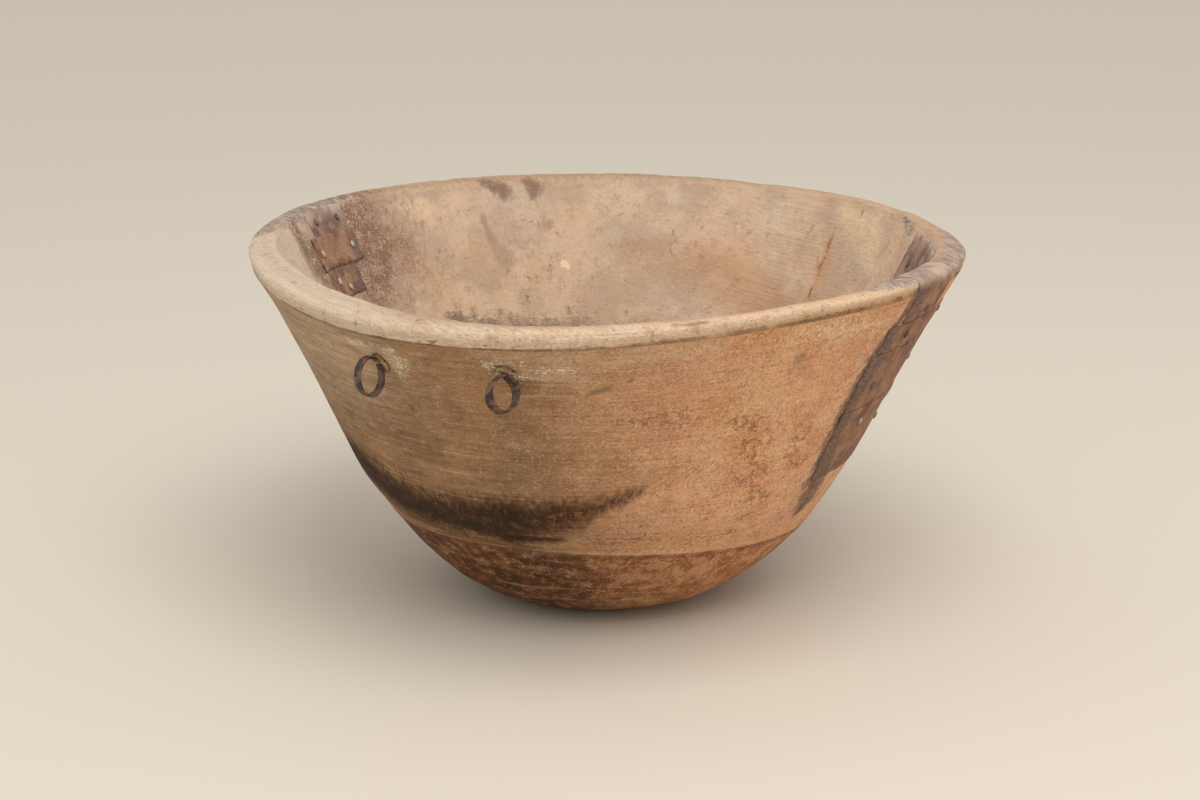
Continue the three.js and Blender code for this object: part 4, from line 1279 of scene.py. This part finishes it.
SWELL, SWELL_REACH = 0.35, 9.0
THIN_RIM, THIN_SHARE = 1.6, 0.25
FOLD_FROM, FOLD_TO = -19, -9
SHEET_GRID = 1.7
print(len(PLATES), "plates, the lowest one", LOWER_END, "mm down from the crown")


# %% Shape a hammered sheet
def sheet_height(laps, start, end, distance):
    """How far the underside is off the wood: hammered close, and one sheet more where it laps."""
    over = np.zeros_like(distance)
    if laps in ("both", "start"):
        over = np.maximum(over, smooth(-np.abs(distance - start), -LAP - LAP_SLOPE, -LAP))
    if laps in ("both", "end"):
        over = np.maximum(over, smooth(-np.abs(distance - end), -LAP - LAP_SLOPE, -LAP))
    return CLOSE + (SHEET + CLOSE) * over


def hammered_sheet(name):
    """Two faces of a grid. Across u and down v, the distance and angle run straight between edges that
    wander. The thickness falls off near the rim of the sheet."""
    start, end, left, right, laps, _ = PLATES[name]
    seed = sum(map(ord, name))
    rng = np.random.default_rng(seed)
    radius = np.interp(-(start + end) / 2, -SECTION[:, 0], SECTION[:, 1])
    wide = np.radians(right - left) * radius
    long = abs(end - start)
    u, v = np.meshgrid(
        np.linspace(0, 1, int(wide / SHEET_GRID) + 2), np.linspace(0, 1, int(long / SHEET_GRID) + 2)
    )
    degree = np.degrees(1 / radius)
    uneven = lambda t, count: np.interp(t, np.linspace(0, 1, count), rng.uniform(-1, 1, count))
    across, down = int(wide / 5) + 3, int(long / 5) + 3
    d = (start + uneven(u, across) * EDGE_WANDER) * (1 - v) + (end + uneven(u, across) * EDGE_WANDER) * v
    a = (left + uneven(v, down) * EDGE_WANDER * degree) * (1 - u)
    a = a + (right + uneven(v, down) * EDGE_WANDER * degree) * u
    from_side = np.minimum(u, 1 - u) * wide
    from_end = np.minimum(v, 1 - v) * long
    rim = smooth(np.minimum(from_side, from_end), -0.6, THIN_RIM)
    belly = smooth(np.minimum(from_side, from_end), 0, SWELL_REACH)
    under = sheet_height(laps, start, end, d) + belly * SWELL * (1 + wander(d, a, 13, 4.5, seed)) / 2
    top = under + SHEET * (THIN_SHARE + (1 - THIN_SHARE) * rim)
    faces_top = on_bowl(d, a, top, bridged=True)
    faces_under = on_bowl(d, a, under, bridged=True)
    rows, cols = u.shape
    points = np.vstack([faces_top.reshape(-1, 3), faces_under.reshape(-1, 3)])
    count = rows * cols
    quads = np.vstack([grid_faces(rows, cols), grid_faces(rows, cols, count)[:, ::-1]])
    ring = np.concatenate([
        np.arange(cols), np.arange(1, rows) * cols + cols - 1,
        (rows - 1) * cols + np.arange(cols - 2, -1, -1), np.arange(rows - 2, 0, -1) * cols,
    ])
    side = np.stack([ring, ring + count, np.roll(ring, -1) + count, np.roll(ring, -1)], -1)
    fields = {
        "from_left": np.tile((u * wide).ravel(), 2),
        "rubbed": np.tile(smooth(-np.abs(d.ravel()), FOLD_FROM, FOLD_TO), 2),
        "grimy": np.full(len(points), GRIME.get(name, 0.0)),
    }
    return points, np.vstack([quads, side]).tolist(), fields


# %% [markdown]
# The sheet has gone red-brown all over. Along the left edge of the outside plates there is a strip,
# nearly black, of old pitch, the fold over the rim is rubbed grey, and the plates inside are grimy.
# Noise alone can't know where a plate's edge or fold is, so those marks read fields that the sheet's
# mesh carries, and noise only frays them.

# %% Mix the rusty sheet
PITCH_FROM, PITCH_TO = 7.0, 14.0


def rusty_sheet():
    """Red-brown clouds, upright streaks, scratches across, dark pits, pitch, grime and a rubbed fold."""
    sheet = Finish("rusty_sheet")
    place = sheet.place()
    cloud = sheet.noise(place, 14.0, 4, 0.6)
    grains = sheet.noise(place, 1.4, 4, 0.7)
    streaks = sheet.noise(sheet.stretched(place, (1.5, 1.5, 9.0)), 2.0, 3)
    scratches = sheet.noise(sheet.stretched(place, (1.0, 6.0, 1.0), 30), 1.1, 3, 0.6)
    colour = sheet.mix(sheet.ramp(cloud, 0.38, 0.64), "744c38", "a0714f")
    colour = sheet.mix(sheet.ramp(streaks, 0.48, 0.68) * 0.5, colour, "b08a74")
    colour = sheet.mix(sheet.ramp(scratches, 0.58, 0.7) * 0.55, colour, "bd9a82")
    colour = sheet.mix(sheet.ramp(scratches, 0.42, 0.3) * 0.4, colour, "50352a")
    colour = sheet.mix(sheet.ramp(grains, 0.44, 0.3) * 0.6, colour, "452f28")
    frayed = (cloud - 0.5) * 18 + (grains - 0.5) * 10
    pitch = sheet.ramp(sheet.field("from_left") + frayed, PITCH_TO, PITCH_FROM)
    pitch_tone = sheet.mix(sheet.ramp(grains, 0.45, 0.62), "55423c", "8d7265")
    colour = sheet.mix(pitch * 0.75, colour, pitch_tone)
    grime_tone = sheet.mix(sheet.ramp(cloud, 0.4, 0.6), "66534a", "99806d")
    colour = sheet.mix(sheet.field("grimy") * 0.65, colour, grime_tone)
    rubbed_tone = sheet.mix(sheet.ramp(cloud, 0.35, 0.62), "9a8172", "c6ad9a")
    colour = sheet.mix(sheet.field("rubbed") * 0.75, colour, rubbed_tone)
    return sheet.done(colour, 0.62 + grains * 0.25, grains * 0.3 + cloud * 0.6, metallic=0.15)


RUSTY_SHEET = rusty_sheet()
for name in PLATES:
    points, faces, fields = hammered_sheet(name)
    worn_name = name.replace("plate", "sheet")
    make_piece(worn_name, points, faces, "vessel", RUSTY_SHEET, name, fields)
print(len(PLATES), "sheets")

# %% [markdown]
# ## The nails
#
# The nails are forged, so no head is round or like its neighbour. A head is a low dome with an oval
# outline that wobbles, on a straight shank with a point. One nail copied sixteen times would be lighter
# but would look cast, so each is turned in its own frame, with its own random numbers, and then set
# square to the sheet at its place.

# %% Sizes of the nails, and how a nail sits
NAIL_RADIUS = 1.1
NAIL_LENGTH = 11.0
HEAD_LONG, HEAD_WIDE, HEAD_HEIGHT = 2.6, 1.7, 1.2
NAIL_POINT = 3.0


def seat_on(distance, angle, offset):
    """A place on the bowl and three axes there: out of it, up along it and across."""
    steps = on_bowl(distance + np.array([-1.0, 1.0]), angle, offset, worked=False)
    turns = on_bowl(distance, angle + np.array([-0.5, 0.5]), offset, worked=False)
    up = (steps[0] - steps[1]) * (1 if distance > 0 else -1)
    up /= np.linalg.norm(up)
    across = turns[1] - turns[0]
    out = np.cross(up, across) * (-1 if distance > 0 else 1)
    out /= np.linalg.norm(out)
    return on_bowl(distance, angle, offset), np.array([out, up, np.cross(out, up)])


# %% Shape a nail
def forged_nail(seed):
    """A profile from the point up the shank, round the underside of the head and over its dome. The
    head's radius is oval and wobbles with the angle."""
    rng = np.random.default_rng(seed)
    turn = np.linspace(0, 2 * np.pi, 20, endpoint=False)
    wobble = 1 + 0.05 * np.cos(3 * turn + rng.uniform(0, 6)) + 0.04 * np.cos(5 * turn + rng.uniform(0, 6))
    oval_y, oval_z = HEAD_LONG * wobble, HEAD_WIDE * wobble
    shank = (-NAIL_LENGTH + NAIL_POINT, -3, 0)
    head = [(0.0, 0.96), (0.25, 1.0), (0.6, 0.94), (0.9, 0.72), (1.1, 0.45), (HEAD_HEIGHT, 0.18)]
    tilt = rng.uniform(-0.12, 0.12, 2)
    circle = NAIL_RADIUS * np.stack([np.zeros_like(turn), np.cos(turn), np.sin(turn)], -1)
    rings = [circle + [x, 0, 0] for x in shank]
    for x, share in head:
        y, z = oval_y * share * np.cos(turn), oval_z * share * np.sin(turn)
        rings.append(np.stack([x * (1 + tilt[0] * y / HEAD_LONG + tilt[1] * z / HEAD_WIDE), y, z], -1))
    ends = np.array([[-NAIL_LENGTH, 0, 0], [HEAD_HEIGHT, 0, 0]])
    return np.vstack([*rings, ends]), capped_faces(len(rings), len(turn))


# %% Finish the nails and drive them in
def nail_heads(name, dark, pale):
    """A dark and a pale tone in fine grains."""
    nail = Finish(name)
    place = nail.place()
    grains = nail.noise(place, 1.2, 4, 0.7)
    colour = nail.mix(nail.ramp(grains, 0.4, 0.62), dark, pale)
    return nail.done(colour, 0.5 + grains * 0.2, grains * 0.3, metallic=0.3)


BRIGHT_NAILS = ("left_inside_plate_middle", "left_inside_plate_bottom", "right_plate_lower")
RUBBED_NAIL = nail_heads("rubbed_nail_heads", "8a7a6e", "cfc5ba")
RUSTY_NAIL = nail_heads("rusty_nail_heads", "4f3c34", "8a7063")
for name, (start, end, left, right, laps, nails) in PLATES.items():
    for k, (down, across) in enumerate(nails, 1):
        distance = start + (end - start) * down
        angle = left + (right - left) * across
        top = sheet_height(laps, start, end, np.array(distance)) + SWELL + SHEET
        seat, axes = seat_on(distance, angle, float(top))
        points, faces = forged_nail(sum(map(ord, name)) + k)
        node = f"{name}_nail_{k}"
        finish = RUBBED_NAIL if name in BRIGHT_NAILS else RUSTY_NAIL
        worn_name = node.replace("plate", "sheet")
        make_piece(worn_name, points @ axes + seat, faces, "vessel", finish, node)
print(sum(len(row[-1]) for row in PLATES.values()), "nails")

# %% [markdown]
# ## The studio
#
# The bowl stands on a plain pale floor. The light is soft: a bright sky all round, and one large lamp
# above the front and a little to the right, which gives the soft shadow under the belly. More lamps
# would give more shadows, and a sky alone would leave the form flat.

# %% Lay the floor
FLOOR_SIZE = 12.0
floor_finish = Finish("pale_floor")
floor_finish.shader.inputs["Base Color"].default_value = tone("d2c8b8")
floor_finish.shader.inputs["Roughness"].default_value = 0.9
floor_mesh = bpy.data.meshes.new("floor")
corner = FLOOR_SIZE / 2
floor_mesh.from_pydata(
    [(-corner, -corner, 0), (corner, -corner, 0), (corner, corner, 0), (-corner, corner, 0)],
    [], [(0, 1, 2, 3)],
)
floor_mesh.materials.append(floor_finish.material)
floor = bpy.data.objects.new("floor", floor_mesh)
bpy.context.scene.collection.objects.link(floor)
print("floor", FLOOR_SIZE, "m across")

# %% Light the bowl
SKY_COLOUR, SKY_STRENGTH = (1.0, 0.99, 0.97, 1), 0.84
world = bpy.data.worlds.new("soft_sky")
world.use_nodes = True
sky = world.node_tree.nodes["Background"]
sky.inputs["Color"].default_value = SKY_COLOUR
sky.inputs["Strength"].default_value = SKY_STRENGTH
bpy.context.scene.world = world


def soft_lamp(name, place, size, power, aim=(0, 0, 0.1)):
    """A square area lamp at a place, turned to face the aim."""
    data = bpy.data.lights.new(name, "AREA")
    data.size = size
    data.energy = power
    lamp = bpy.data.objects.new(name, data)
    lamp.location = place
    lamp.rotation_euler = (Vector(aim) - Vector(place)).to_track_quat("-Z", "Y").to_euler()
    bpy.context.scene.collection.objects.link(lamp)


soft_lamp("window", place=(0.25, -0.95, 1.8), size=1.4, power=22)
bpy.context.scene.view_settings.view_transform = "Standard"
print("sky", SKY_STRENGTH, "and", len(bpy.data.lights), "lamp")
